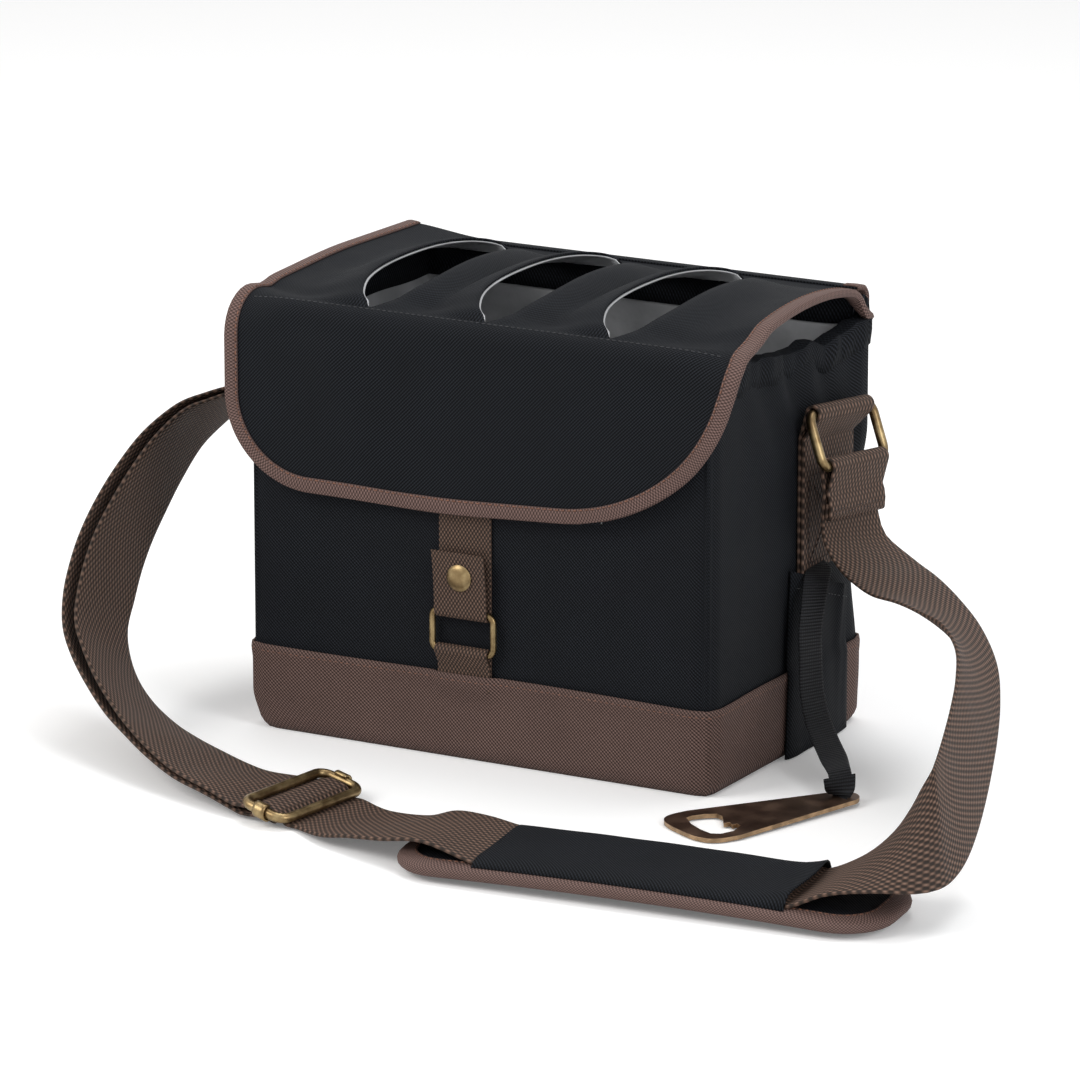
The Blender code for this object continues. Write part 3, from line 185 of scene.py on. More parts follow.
floor_shape = bmesh.new()
bmesh.ops.create_grid(floor_shape, x_segments=2, y_segments=2, size=30)
floor_mesh = bpy.data.meshes.new("floor")
floor_shape.to_mesh(floor_mesh)
floor_shape.free()
floor = bpy.data.objects.new("floor", floor_mesh)
bpy.context.scene.collection.objects.link(floor)
paper = Finish(
    "floor_paper", {"Base Color": (0.97, 0.97, 0.97, 1), "Roughness": 0.9, "Emission Strength": 1.0}
)
paper.feed("Emission Color", paper.node("ShaderNodeLightPath", {}, {}) * 0.13)
floor.data.materials.append(paper.material)

sky = bpy.data.worlds.new("sky")
sky.use_nodes = True
bpy.context.scene.world = sky
air = sky.node_tree
glow = air.nodes["Background"]
glow.inputs["Color"].default_value = (1, 1, 1, 1)
rays = air.nodes.new("ShaderNodeLightPath")
seen = Shade(air, rays.outputs["Is Camera Ray"])
seen = seen + Shade(air, rays.outputs["Is Glossy Ray"]) + Shade(air, rays.outputs["Is Transmission Ray"])
level = seen.maths("MINIMUM", seen, 1) * 0.42 + 0.58
air.links.new(level.socket, glow.inputs["Strength"])


# Shoulder strap: one length of brown 50 mm polypropylene webbing, coarsely woven.
# It is sewn round the right ring, runs through the pad's sleeve and the slider, turns round the
# left ring and comes back to the slider's middle bar, where its end is sewn down.

WEB_WIDTH, WEB, GAP = 0.050, 0.0016, 0.0003
ROUTE_STEP, WELD = 0.0035, 1e-5


def woven(name, gap, thread, glint, pitch, depth, roughness=0.75, gloss=0.3, ply=3.0, twill=0.0, creases=0.3):
    """Woven cloth: threads that rise and dip in turn, with painted shade (the gap colour) in each dip and a
    painted highlight (the glint) on each rise's crown.
    """
    cloth = Finish(name, {"Specular IOR Level": gloss})
    across = cloth.node(
        "ShaderNodeSeparateXYZ", {}, {0: cloth.node("ShaderNodeUVMap", {"uv_map": "weave"}, {})}
    )
    along = across.output(1)
    plain_weave = across.wave(pitch[0]) * along.wave(pitch[1])
    diagonal = (across * (1 / pitch[0]) + along * (1 / pitch[1]) - 0.5).wave(1)
    rise = plain_weave * (0.5 - twill / 2) + diagonal * (twill / 2) + 0.5
    wander = cloth.noise(40, 2)
    # gap is painted shade in the dips between threads; thread is the cloth's own colour.
    body = cloth.blend(rise.between(0.25, 0.85), (*gap, 1), (*thread, 1))
    # crown is the share of the glint colour, a painted highlight on the threads' crowns.
    crown = rise**ply * (wander * 0.5 + 0.45)
    cloth.feed("Base Color", cloth.blend(crown, body, (*glint, 1)))
    cloth.feed("Roughness", wander * 0.2 + (roughness - 0.1))
    creased = cloth.bump(cloth.noise(28, 2), 0.0012, creases)
    cloth.feed("Normal", cloth.bump(rise, depth, 0.8, creased))
    return cloth.material


# Colours: painted shade in the weave's dips, the webbing's own brown, and a painted pinkish highlight on its
# crowns.
webbing_look = woven(
    "brown_webbing", (0.015, 0.009, 0.006), (0.058, 0.033, 0.022), (0.28, 0.17, 0.125), (0.0014, 0.0023),
    0.0006
)


def arc(centre, radius, start, end, steps):
    turns = [math.radians(start + (end - start) * i / steps) for i in range(steps + 1)]
    return [(centre[0] + radius * math.cos(t), centre[1] + radius * math.sin(t)) for t in turns]


def tangent_angle(centre, radius, point, side):
    """The angle, in degrees, at which a line from a point outside meets the circle."""
    reach = Vector(point) - Vector(centre)
    spread = math.acos(min(radius / reach.length, 1))
    return math.degrees(math.atan2(reach.y, reach.x) + side * spread)


def smooth_route(route, step):
    """Points along a smooth curve through the stops, each with the direction of the width."""
    stops = [(Vector(place), Vector(lean)) for place, lean in route]
    stops = [stops[0]] + stops + [stops[-1]]
    smooth = []
    for i in range(1, len(stops) - 2):
        count = max(1, round((stops[i + 1][0] - stops[i][0]).length / step))
        for k in range(count):
            t = k / count
            pair = []
            for which in (0, 1):
                a, b, c, d = (stops[i + j][which] for j in (-1, 0, 1, 2))
                bend = (2 * a - 5 * b + 4 * c - d) * t**2 + (3 * b - a - 3 * c + d) * t**3
                pair.append(0.5 * (2 * b + (c - a) * t + bend))
            smooth.append(tuple(pair))
    smooth.append(stops[-2])
    return smooth


def cloth_grid(across, along, place, flat, gone=None):
    """A sheet of cloth: a grid whose points are laid in place, with its flat sizes as its weave's map."""
    shape = bmesh.new()
    bmesh.ops.create_grid(shape, x_segments=across, y_segments=along, size=0.5)
    spots = {v: (round((v.co.x + 0.5) * across), round((v.co.y + 0.5) * along)) for v in shape.verts}
    weave = shape.loops.layers.uv.new("weave")
    unwanted = []
    for face in shape.faces:
        for loop in face.loops:
            loop[weave].uv = flat(*spots[loop.vert])
        if gone and gone(min(spots[v][0] for v in face.verts), min(spots[v][1] for v in face.verts)):
            unwanted.append(face)
    for v, (i, j) in spots.items():
        v.co = place(i, j)
    if unwanted:
        bmesh.ops.delete(shape, geom=unwanted, context="FACES")
    bmesh.ops.remove_doubles(shape, verts=shape.verts, dist=WELD)
    return shape


def settle(shape, name, look, body=None, nodes=(), wall=0.0, side=0.0, sharp=40):
    """Makes a bmesh a piece of the bag, riding on a body and standing for the solids named."""
    mesh = bpy.data.meshes.new(name)
    shape.to_mesh(mesh)
    shape.free()
    mesh.materials.append(look)
    mesh.shade_smooth()
    mesh.set_sharp_from_angle(angle=math.radians(sharp))
    piece = bpy.data.objects.new(name, mesh)
    bpy.context.scene.collection.objects.link(piece)
    if wall:
        solid = piece.modifiers.new("wall", "SOLIDIFY")
        solid.thickness = wall
        solid.offset = side
    if body:
        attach(piece, body)
    if nodes:
        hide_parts(*nodes)
    return piece


def strap_shape(points, width, thickness, narrow=None):
    """Webbing with rounded selvedges along points that each carry the width's direction."""
    flat_half, edge = (width - thickness) / 2, thickness / 2
    section = [(flat_half * (k / 5 - 1), edge, flat_half * (k / 5 - 1)) for k in range(11)]
    section += [
        (flat_half + edge * math.sin(t), edge * math.cos(t), flat_half + edge) for t in (1, 1.57, 2.14)
    ]
    section += [(x, -y, x) for x, y, _ in section[10::-1]]
    section += [(-x, -y, -u) for x, y, u in section[11:14]]
    runs = [0.0]
    frames = []
    for i, (place, lean) in enumerate(points):
        ahead = (points[min(i + 1, len(points) - 1)][0] - points[max(i - 1, 0)][0]).normalized()
        across = lean.normalized()
        frames.append((place, across, ahead.cross(across).normalized()))
        if i:
            runs.append(runs[-1] + (place - points[i - 1][0]).length)

    def place_of(i, j):
        place, across, out = frames[j]
        share = narrow(runs[j] / runs[-1]) if narrow else 1
        x, y, _ = section[i % len(section)]
        return place + across * (x * share) + out * y

    def flat_of(i, j):
        return section[i % len(section)][2], runs[j]

    shape = cloth_grid(len(section), len(points) - 1, place_of, flat_of)
    rims = [edge for edge in shape.edges if edge.is_boundary]
    bmesh.ops.holes_fill(shape, edges=rims, sides=0)
    bmesh.ops.recalc_face_normals(shape, faces=shape.faces)
    return shape


def eased(share):
    share = min(max(share, 0.0), 1.0)
    return share * share * (3 - 2 * share)


def hump(value, middle, spread):
    return math.exp(-(((value - middle) / spread) ** 2))


def run_length(points):
    return sum((b[0] - a[0]).length for a, b in zip(points, points[1:]))


thread_look = plain("rust_thread", (0.20, 0.085, 0.05), 0.25, 0.6, scale=400)
dark_thread = plain("dark_thread", (0.030, 0.016, 0.013), 0.25, 0.65, scale=400)


def stitches(name, line, look, body=None, pitch=0.0034, thread=0.00032):
    """A row of lockstitches: short threads along a line of places, each with the cloth's outward way."""
    shape = bmesh.new()
    runs = [0.0]
    for a, b in zip(line, line[1:]):
        runs.append(runs[-1] + (b[0] - a[0]).length)
    k = 0
    for n in range(int(runs[-1] / pitch)):
        middle = (n + 0.5) * pitch
        while runs[k + 1] < middle:
            k += 1
        share = (middle - runs[k]) / (runs[k + 1] - runs[k])
        place = line[k][0].lerp(line[k + 1][0], share)
        out = line[k][1].lerp(line[k + 1][1], share).normalized()
        ahead = (line[k + 1][0] - line[k][0]).normalized()
        aside = out.cross(ahead).normalized()
        size = Matrix((ahead * (pitch * 0.38), aside * thread, out * thread)).transposed().to_4x4()
        bmesh.ops.create_icosphere(shape, subdivisions=1, radius=1, matrix=Matrix.Translation(place) @ size)
    return settle(shape, name, look, body, sharp=180)


# Both side rings' places and tilts, and the way the webbing leaves each one's lower bar.
RING_WIRE, RING_PITCH = 0.0045, 0.0245
web_loop = RING_WIRE / 2 + GAP + WEB / 2
right_middle = Vector((0.1245, 0.034, 0.156))
right_bar = Vector((0.05205, 0.99322, -0.10397)).normalized()
right_hang = Vector((math.sin(math.radians(22)), 0, -math.cos(math.radians(22))))
right_hang = (right_hang - right_bar * right_hang.dot(right_bar)).normalized()
right_low = right_middle + right_hang * RING_PITCH
right_way = Vector((0, 0, -1))
right_way = (right_way - right_bar * right_way.dot(right_bar)).normalized()
left_middle = Vector((-0.1295, 0.034, 0.156))
left_bar = Vector((-0.33243, 0.91335, -0.23514)).normalized()
left_hang = Vector((-math.sin(math.radians(55)), 0, -math.cos(math.radians(55))))
left_hang = (left_hang - left_bar * left_hang.dot(left_bar)).normalized()
left_low = left_middle + left_hang * RING_PITCH
left_way = Vector((-0.75, -0.55, -0.30))
left_way = (left_way - left_bar * left_way.dot(left_bar)).normalized()


def round_bar(centre, bar, way, near, far):
    """Stops of webbing that comes up to a bar, turns round it and leaves the way it came."""
    out = bar.cross(way)
    layer, meet_at = (WEB + GAP) / 2, 0.012
    arrive = tangent_angle((0, 0), web_loop, (-layer, meet_at), 1)
    path = [(-layer, near), (-layer, (near + meet_at) / 2), (-layer, meet_at)]
    path += arc((0, 0), web_loop, arrive, 540 - arrive, 16)
    path += [(layer, meet_at), (layer, (far + meet_at) / 2), (layer, far)]
    return [(centre + out * u + way * v, bar) for u, v in path], out * layer


STRAP_END, LEFT_END = 0.024, 0.015
SLEEVE_LENGTH, PAD_TOP = 0.145, 0.0078
pad_turn = math.radians(4.5)
pad_along = Vector((math.cos(pad_turn), math.sin(pad_turn), 0))
pad_across = Vector((-math.sin(pad_turn), math.cos(pad_turn), 0))


def on_pad(along, across, up):
    """A place on the pad, which leans a little towards the front and is bowed along its length."""
    lie = (across + 0.030) * 0.05 + 0.0018 * (1 - (along / 0.1) ** 2)
    return Vector((0.157, -0.203, 0)) + pad_along * along + pad_across * across + Vector((0, 0, up + lie))


slide_turn = math.radians(-7)
slide_way = Vector((math.cos(slide_turn), math.sin(slide_turn), 0))
cross_way = Vector((-math.sin(slide_turn), math.cos(slide_turn), 0))


def on_slider(along, across, up):
    return Vector((-0.032, -0.177, 0)) + slide_way * along + cross_way * across + Vector((0, 0, up))


SLIDER_PITCH, SLIDER_HIGH, SLIDER_LOW = 0.022, 0.0096, 0.0050
CLIP_HALF = 0.0006
slider_level = (SLIDER_HIGH + SLIDER_LOW) / 2
slider_slope = (SLIDER_LOW - SLIDER_HIGH) / SLIDER_PITCH
bar_level = slider_level - (RING_WIRE / 2 + GAP + CLIP_HALF)
layer_drop = CLIP_HALF + GAP + WEB / 2
end_level = bar_level - layer_drop
bar_edge = 0.0030
fold_centre = (bar_edge, bar_level + bar_edge * slider_slope)
over_fold = layer_drop + WEB + GAP
under_bar = RING_WIRE / 2 + GAP + WEB / 2
between_bars = Vector((SLIDER_PITCH / 2, SLIDER_LOW)) - Vector(fold_centre)
meet = math.degrees(
    math.atan2(between_bars.y, between_bars.x) + math.acos((over_fold + under_bar) / between_bars.length)
)
weave_path = [(SLIDER_PITCH / 2 + 0.004, SLIDER_LOW - under_bar)]
weave_path += arc((SLIDER_PITCH / 2, SLIDER_LOW), under_bar, 270, 180 + meet, 6)
weave_path += arc(fold_centre, over_fold, meet, 90, 6)
weave_path += [(-bar_edge, bar_level + over_fold - bar_edge * slider_slope)]
weave_path += [(-SLIDER_PITCH / 2, SLIDER_HIGH - under_bar), (-0.016, SLIDER_HIGH - under_bar - GAP)]

right_loop, right_layer = round_bar(right_low, right_bar, right_way, STRAP_END, STRAP_END)
outwards = -right_layer.normalized()
HEM_TURN = 0.00095
hem_path = [(0, 0.0165), (0, 0.0205)] + arc((HEM_TURN, 0.0225), HEM_TURN, 180, 0, 8)
hem_path += [(0.0019, 0.0205), (0.0019, 0.0185), (0.0012, 0.0150)]
right_hem = [(right_low - right_layer + outwards * u + right_way * v, right_bar) for u, v in hem_path]
right_tip = right_low + right_way * STRAP_END
strap_level = PAD_TOP + GAP + WEB / 2
flat_lean = -(pad_across + Vector((0, 0, 0.05)))


def webbing(points, name, body=None, nodes=()):
    """A length of the shoulder strap's webbing, as a piece of the bag."""
    return settle(strap_shape(points, WEB_WIDTH, WEB), name, webbing_look, body, nodes)


# In long_stops, the 13 stops between the ring and the pad that start at x 0.2150 and end at x 0.2446,
# and the last 4, come from a fit to the strap's two edges in the photograph.
long_stops = [
    (right_tip + right_layer, right_bar),
    ((0.1340, 0.0312, 0.098), (0.14, 0.97, -0.17)),
    ((0.1460, 0.0280, 0.089), (0.36, 0.92, -0.16)),
    ((0.160, 0.019, 0.085), (0.46, 0.88, -0.14)),
    ((0.177, 0.006, 0.082), (0.48, 0.86, -0.20)),
    ((0.196, -0.009, 0.080), (0.46, 0.80, -0.38)),
    ((0.2150, -0.0284, 0.0769), (0.440, 0.679, -0.588)),
    ((0.2315, -0.0492, 0.0731), (0.327, 0.521, -0.789)),
    ((0.2451, -0.0713, 0.0671), (0.217, 0.401, -0.890)),
    ((0.2553, -0.0944, 0.0604), (0.180, 0.344, -0.922)),
    ((0.2636, -0.1170, 0.0538), (0.178, 0.311, -0.934)),
    ((0.2705, -0.1380, 0.0482), (0.186, 0.263, -0.947)),
    ((0.2762, -0.1569, 0.0442), (0.196, 0.165, -0.967)),
    ((0.2803, -0.1729, 0.0424), (0.204, -0.013, -0.979)),
    ((0.2820, -0.1853, 0.0417), (0.222, -0.284, -0.933)),
    ((0.2778, -0.1923, 0.0390), (0.221, -0.606, -0.764)),
    ((0.2691, -0.1932, 0.0333), (0.164, -0.845, -0.509)),
    ((0.2581, -0.1933, 0.0260), (0.106, -0.961, -0.257)),
    ((0.2446, -0.1945, 0.0186), (0.069, -0.995, -0.078)),
    (on_pad(SLEEVE_LENGTH / 2, 0, strap_level), flat_lean),
    (on_pad(SLEEVE_LENGTH / 2 - 0.010, 0, strap_level), flat_lean),
    (on_pad(0, 0, strap_level), flat_lean),
    (on_pad(0.010 - SLEEVE_LENGTH / 2, 0, strap_level), flat_lean),
    (on_pad(-SLEEVE_LENGTH / 2, 0, strap_level), flat_lean),
    ((0.0625, -0.2059, 0.0141), (-0.110, -0.994, 0.027)),
    ((0.0422, -0.2024, 0.0117), (-0.230, -0.973, -0.025)),
    ((0.0228, -0.1965, 0.0067), (-0.311, -0.950, 0.030)),
    ((0.0026, -0.1904, 0.0033), (-0.150, -0.980, 0.030)),
]
long_stops += [(on_slider(along, 0, up), -cross_way) for along, up in weave_path]
long_run = right_hem + right_loop[2:-1] + smooth_route(long_stops, ROUTE_STEP)
strap_long = webbing(long_run, "long_webbing", nodes=("strap_long", "strap_end_right"))
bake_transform(strap_long)

left_turn, left_layer = round_bar(left_low, left_bar, left_way, LEFT_END, LEFT_END)
left_tip = left_low + left_way * LEFT_END
webbing(left_turn, "left_turn_webbing", "ring_left", ("strap_turn_left",))
upper_stops = [
    (on_slider(-0.0155, 0, weave_path[-1][1]), -cross_way),
    (on_slider(-0.020, 0, weave_path[-1][1]), -cross_way),
    ((-0.070, -0.170, 0.0070), (-0.08, -0.97, 0.11)),
    ((-0.088, -0.163, 0.0082), (-0.18, -0.96, 0.17)),
    ((-0.106, -0.155, 0.0112), (-0.21, -0.93, 0.25)),
    ((-0.123, -0.147, 0.0150), (-0.18, -0.91, 0.34)),
    ((-0.139, -0.138, 0.0190), (-0.12, -0.89, 0.41)),
    ((-0.155, -0.129, 0.0260), (-0.08, -0.86, 0.48)),
    ((-0.168, -0.120, 0.034), (-0.05, -0.84, 0.52)),
    ((-0.178, -0.111, 0.043), (-0.04, -0.84, 0.53)),
    ((-0.184, -0.101, 0.053), (0.00, -0.82, 0.56)),
    ((-0.187, -0.090, 0.064), (0.00, -0.81, 0.58)),
    ((-0.189, -0.079, 0.075), (0.03, -0.81, 0.58)),
    ((-0.190, -0.066, 0.086), (0.08, -0.80, 0.59)),
    ((-0.189, -0.053, 0.098), (0.13, -0.78, 0.61)),
    ((-0.188, -0.037, 0.110), (0.20, -0.77, 0.61)),
    ((-0.185, -0.020, 0.1210), (0.30, -0.77, 0.56)),
    ((-0.1805, -0.006, 0.1265), (0.36, -0.81, 0.45)),
    ((-0.1755, 0.0045, 0.1305), (0.38, -0.84, 0.36)),
    ((-0.1693, 0.0125, 0.1336), (0.36, -0.88, 0.27)),
    (left_tip + left_way * 0.004 - left_layer, -left_bar),
    (left_tip - left_way * 0.0005 - left_layer, -left_bar),
]
upper_run = smooth_route(upper_stops, ROUTE_STEP)
strap_upper = webbing(upper_run, "upper_webbing", nodes=("strap_upper",))
lower_stops = [
    (on_slider(-0.0115, 0, end_level), -cross_way),
    (on_slider(-0.016, 0, end_level), -cross_way),
    ((-0.070, -0.170, 0.0045), (-0.08, -0.97, 0.10)),
    ((-0.0885, -0.1635, 0.0058), (-0.18, -0.96, 0.16)),
    ((-0.107, -0.156, 0.0086), (-0.21, -0.93, 0.25)),
    ((-0.1245, -0.148, 0.0119), (-0.18, -0.91, 0.34)),
    ((-0.1415, -0.1395, 0.0153), (-0.12, -0.89, 0.41)),
    ((-0.158, -0.131, 0.0222), (-0.08, -0.86, 0.48)),
    ((-0.1725, -0.122, 0.0303), (-0.05, -0.84, 0.52)),
    ((-0.1835, -0.1125, 0.040), (-0.04, -0.84, 0.53)),
    ((-0.191, -0.102, 0.0513), (0.00, -0.82, 0.56)),
    ((-0.1945, -0.0905, 0.063), (0.00, -0.81, 0.58)),
    ((-0.1965, -0.0795, 0.0745), (0.03, -0.81, 0.58)),
    ((-0.1975, -0.0665, 0.0865), (0.08, -0.80, 0.59)),
    ((-0.196, -0.0535, 0.099), (0.13, -0.78, 0.61)),
    ((-0.194, -0.037, 0.1115), (0.20, -0.77, 0.61)),
    ((-0.1887, -0.020, 0.1229), (0.30, -0.77, 0.56)),
    ((-0.1829, -0.006, 0.1289), (0.36, -0.81, 0.45)),
    ((-0.1770, 0.005, 0.1328), (0.38, -0.84, 0.36)),
    ((-0.1704, 0.0127, 0.1357), (0.36, -0.88, 0.27)),
    (left_tip + left_way * 0.004 + left_layer, -left_bar),
    (left_tip - left_way * 0.0005 + left_layer, -left_bar),
]
lower_run = smooth_route(lower_stops, ROUTE_STEP)
strap_lower = webbing(lower_run, "lower_webbing", nodes=("strap_lower",))
for layer in (strap_upper, strap_lower):
    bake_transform(layer)

end_path = [(-0.0120, end_level), (-bar_edge, end_level - bar_edge * slider_slope)]
end_path += arc(fold_centre, layer_drop, -90, 90, 10)
end_path += [
    (-bar_edge, bar_level + layer_drop - bar_edge * slider_slope), (-0.0085, end_level + WEB + 0.0006)
]
end_run = [(on_slider(along, 0, up), -cross_way) for along, up in end_path]
strap_end_slider = webbing(end_run, "slider_end_webbing", "slider", ("strap_end_slider",))
run_length(long_run)
run_length(upper_run)
run_length(lower_run)

# Two rows of stitches hold down the strap's sewn end below the right ring.
for row in (0.0190, 0.0210):
    spots = []
    for k in range(21):
        spot = right_low + right_way * row - right_layer + right_bar * (WEB_WIDTH * (k / 20 - 0.5) * 0.92)
        spots.append((spot + outwards * (WEB / 2 + 0.0019), outwards))
    stitches("strap_end_stitches_%d" % (row * 1000), spots, dark_thread, "ring_right")


# Tether: black ribbed ribbon sewn under the right tab's foot, doubled and gathered at its lower
# end, which goes through the opener's hole and is folded flat beneath it.

ribbon = Finish("black_ribbon", {"Specular IOR Level": 0.2})
ribbon_across = ribbon.node(
    "ShaderNodeSeparateXYZ", {}, {0: ribbon.node("ShaderNodeUVMap", {"uv_map": "weave"}, {})}
)
rib_rise_and_highlight = ribbon_across.output(1).wave(0.0015) ** 2
warp = ribbon_across.wave(0.0006) * 0.15 + 0.85
# The black ribbon's rib crests are painted lighter grey as a painted highlight.
ribbon.feed("Base Color", ribbon.blend(rib_rise_and_highlight * warp, (0.0015, 0.0015, 0.002, 1), (0.022, 0.023, 0.027, 1)))
ribbon.feed("Roughness", ribbon.noise(120) * 0.2 + 0.5)
ribbon.feed("Normal", ribbon.bump(rib_rise_and_highlight * warp, 0.0004, 0.9))

opener_turn = math.radians(241)
opener_spot = Vector((0.1705, -0.0515, 0.0016))
opener_along = Vector((math.cos(opener_turn), math.sin(opener_turn), (0.0003 - 0.0016) / 0.087)).normalized()
opener_across = Vector((-math.sin(opener_turn), math.cos(opener_turn), 0))
opener_up = opener_along.cross(opener_across)
tether_stops = [
    ((0.1168, 0.022, 0.0900), (0, 1, 0)),
    ((0.1172, 0.022, 0.0868), (0.10, 0.99, 0)),
    ((0.1215, 0.0200, 0.0848), (0.38, 0.91, -0.12)),
    ((0.1252, 0.0112, 0.0822), (0.43, 0.88, -0.15)),
    ((0.1284, 0.0020, 0.0740), (0.33, 0.93, -0.12)),
    ((0.1302, -0.0045, 0.0620), (0.28, 0.95, -0.10)),
    ((0.1316, -0.0066, 0.0510), (0.27, 0.96, -0.08)),
    ((0.1342, -0.0105, 0.0380), (0.30, 0.95, -0.05)),
    ((0.1400, -0.0165, 0.0270), (0.33, 0.94, 0.00)),
    ((0.1485, -0.0250, 0.0200), (0.38, 0.92, 0.00)),
    ((0.1580, -0.0355, 0.0158), (0.42, 0.91, 0.00)),
    (opener_spot + Vector((-0.0030, 0.0035, 0.0120)), (0.46, 0.89, 0.00)),
    (opener_spot + Vector((-0.0008, 0.0010, 0.0085)), (0.50, 0.87, 0.00)),
]
tether_run = smooth_route(tether_stops, 0.0025)
tether = settle(
    strap_shape(tether_run, 0.015, 0.001, lambda t: 1 - 0.2 * eased((t - 0.84) / 0.16)), "opener_ribbon",
    ribbon.material, nodes=("tether_ribbon",)
)
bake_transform(tether)
fold_stops = [
    (opener_spot + Vector((-0.0010, 0.0012, 0.0110)), (0.50, 0.87, 0.00)),
    (opener_spot + Vector((-0.0003, 0.0004, 0.0070)), (0.60, 0.80, 0.00)),
    (opener_spot + Vector((0, 0, 0.0032)), (0.95, 0.30, 0.00)),
    (opener_spot + Vector((0, 0, -0.0002)) + opener_along * 0.0003, opener_across),
    (opener_spot + Vector((0, 0, -0.0008)) + opener_along * 0.0020, opener_across),
    (opener_spot + Vector((0, 0, -0.0008)) + opener_along * 0.0036, opener_across),
]
tether_end = settle(
    strap_shape(smooth_route(fold_stops, 0.001), 0.0150, 0.001, lambda t: 1 - 0.45 * min(t / 0.6, 1) ** 2),
    "opener_ribbon_end",
    ribbon.material,
    "opener",
    ("tether_end",),
)
back_stops = [(place + opener_along * 0.0013, lean) for place, lean in fold_stops[:3]]
settle(
    strap_shape(smooth_route(back_stops, 0.001), 0.0158, 0.0012, lambda t: 1 - 0.35 * t * t),
    "opener_ribbon_fold",
    ribbon.material,
    "opener",
)
run_length(tether_run)


# Side tabs: the same webbing, sewn flat on each gusset, up round the ring's top bar and down again.
# The rings are rectangles of round wire with an antique brass plating.

HALF_WIDTH, HALF_DEPTH = 0.116, 0.074
RING_SLACK = 0.0011
brass = Finish("old_brass", {"Metallic": 1.0})
patina = brass.noise(160, 5)
tarnish = brass.noise(35, 3)
worn = brass.blend(patina.between(0.35, 0.7), (0.20, 0.135, 0.065, 1), (0.40, 0.30, 0.155, 1))
brass.feed("Base Color", brass.blend(tarnish.between(0.5, 0.8), worn, (0.10, 0.064, 0.036, 1)))
brass.feed("Roughness", patina * 0.22 + 0.26)
brass.feed("Normal", brass.bump(patina, 0.00012, 0.4))


def wire_loop(name, centre, one_way, other_way, half_one, half_other, corner, wire, body, node):
    """A closed rectangle of round wire with rounded corners."""
    line = bpy.data.curves.new(name, "CURVE")
    line.dimensions = "3D"
    line.bevel_depth = wire / 2
    line.bevel_resolution = 5
    points = []
    for sx, sy, start in ((1, 1, 0), (-1, 1, 90), (-1, -1, 180), (1, -1, 270)):
        points += arc((sx * (half_one - corner), sy * (half_other - corner)), corner, start, start + 90, 8)
    spline = line.splines.new("POLY")
    spline.points.add(len(points) - 1)
    for spot, (u, v) in zip(spline.points, points):
        spot.co = (*(centre + one_way * u + other_way * v), 1)
    spline.use_cyclic_u = True
    line.materials.append(brass.material)
    piece = bpy.data.objects.new(name, line)
    bpy.context.scene.collection.objects.link(piece)
    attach(piece, body)
    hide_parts(node)


def tab_run(facing, middle, bar):
    """The webbing's middle line, from the foot of the inner layer to the foot of the outer one."""
    edges = []
    layer, foot, drop = HALF_WIDTH + GAP + WEB / 2, 0.084, 0.012
    for end in (-1, 1):
        spot = middle + bar * (end * WEB_WIDTH / 2)
        centre = (facing * spot.x, spot.z)
        outer = (layer + WEB + GAP, spot.z - drop)
        arrive = tangent_angle(centre, web_loop, (layer, spot.z - drop), -1) % 360
        leave = tangent_angle(centre, web_loop, outer, 1)
        path = [(layer, foot + (spot.z - drop - foot) * k / 12) for k in range(13)]
        path += arc(centre, web_loop, arrive, leave, 16)
        path += [(outer[0], foot + (spot.z - drop - foot) * k / 12) for k in range(12, -1, -1)]
        edge = []
        for u, v in path:
            rise = max(v - spot.z, -drop)
            shift = -((facing * u - spot.x) * bar.x + rise * bar.z) / bar.y
            edge.append(Vector((facing * u, spot.y + shift, v)))
        edges.append(edge)
    return [((a + b) / 2, b - a) for a, b in zip(*edges)]


ring_half = WEB_WIDTH / 2 + RING_SLACK + RING_WIRE / 2
for facing, side_name, middle, bar, hang in (
    (1, "right", right_middle, right_bar, right_hang),
    (-1, "left", left_middle, left_bar, left_hang),
):
    run = tab_run(facing, middle, bar)
    webbing(run, "tab_webbing_" + side_name, "bag", ("side_tab_" + side_name,))
    wire_loop(
        "ring_wire_" + side_name, middle + hang * (RING_PITCH / 2), bar, hang, ring_half, RING_PITCH / 2,
        0.005, RING_WIRE,
        "ring_" + side_name, "ring_" + side_name,
    )
    face = facing * (HALF_WIDTH + 0.0006 + 2 * WEB + 0.0002)
    near_y, far_y, low_z, high_z = 0.0135, 0.0545, 0.088, 0.128
    box = [(near_y, low_z), (far_y, low_z), (far_y, high_z), (near_y, high_z)]
    box += [(near_y, low_z), (far_y, high_z), (far_y, low_z), (near_y, high_z)]
    line = []
    for (y0, z0), (y1, z1) in zip(box, box[1:]):
        for k in range(12):
            spot = Vector((face, y0 + (y1 - y0) * k / 12, z0 + (z1 - z0) * k / 12))
            line.append((spot, Vector((facing, 0, 0))))
    stitches("side_tab_stitches_" + side_name, line, dark_thread, "bag")


# Slider: a frame of the same wire, with a flat strip across it that is clipped round both sides.

slider_middle = Vector((-0.032, -0.177, slider_level))
slider_half = WEB_WIDTH / 2 + RING_SLACK + RING_WIRE / 2
slope_way = (slide_way + Vector((0, 0, slider_slope))).normalized()
slider_stretch = SLIDER_PITCH / 2 * math.sqrt(1 + slider_slope**2)
wire_loop(
    "slider_wire", slider_middle, slope_way, cross_way, slider_stretch, slider_half, 0.0055, RING_WIRE,
    "slider", "slider_frame"
)
clip_radius = RING_WIRE / 2 + GAP + CLIP_HALF
clip_path = arc((-slider_half, slider_level), clip_radius, 60, 270, 12)
clip_path += arc((slider_half, slider_level), clip_radius, 270, 480, 12)


def clip_place(i, j):
    along = (i / 4 - 0.5) * 0.0060
    return on_slider(along, clip_path[j][0], clip_path[j][1] + along * slider_slope)


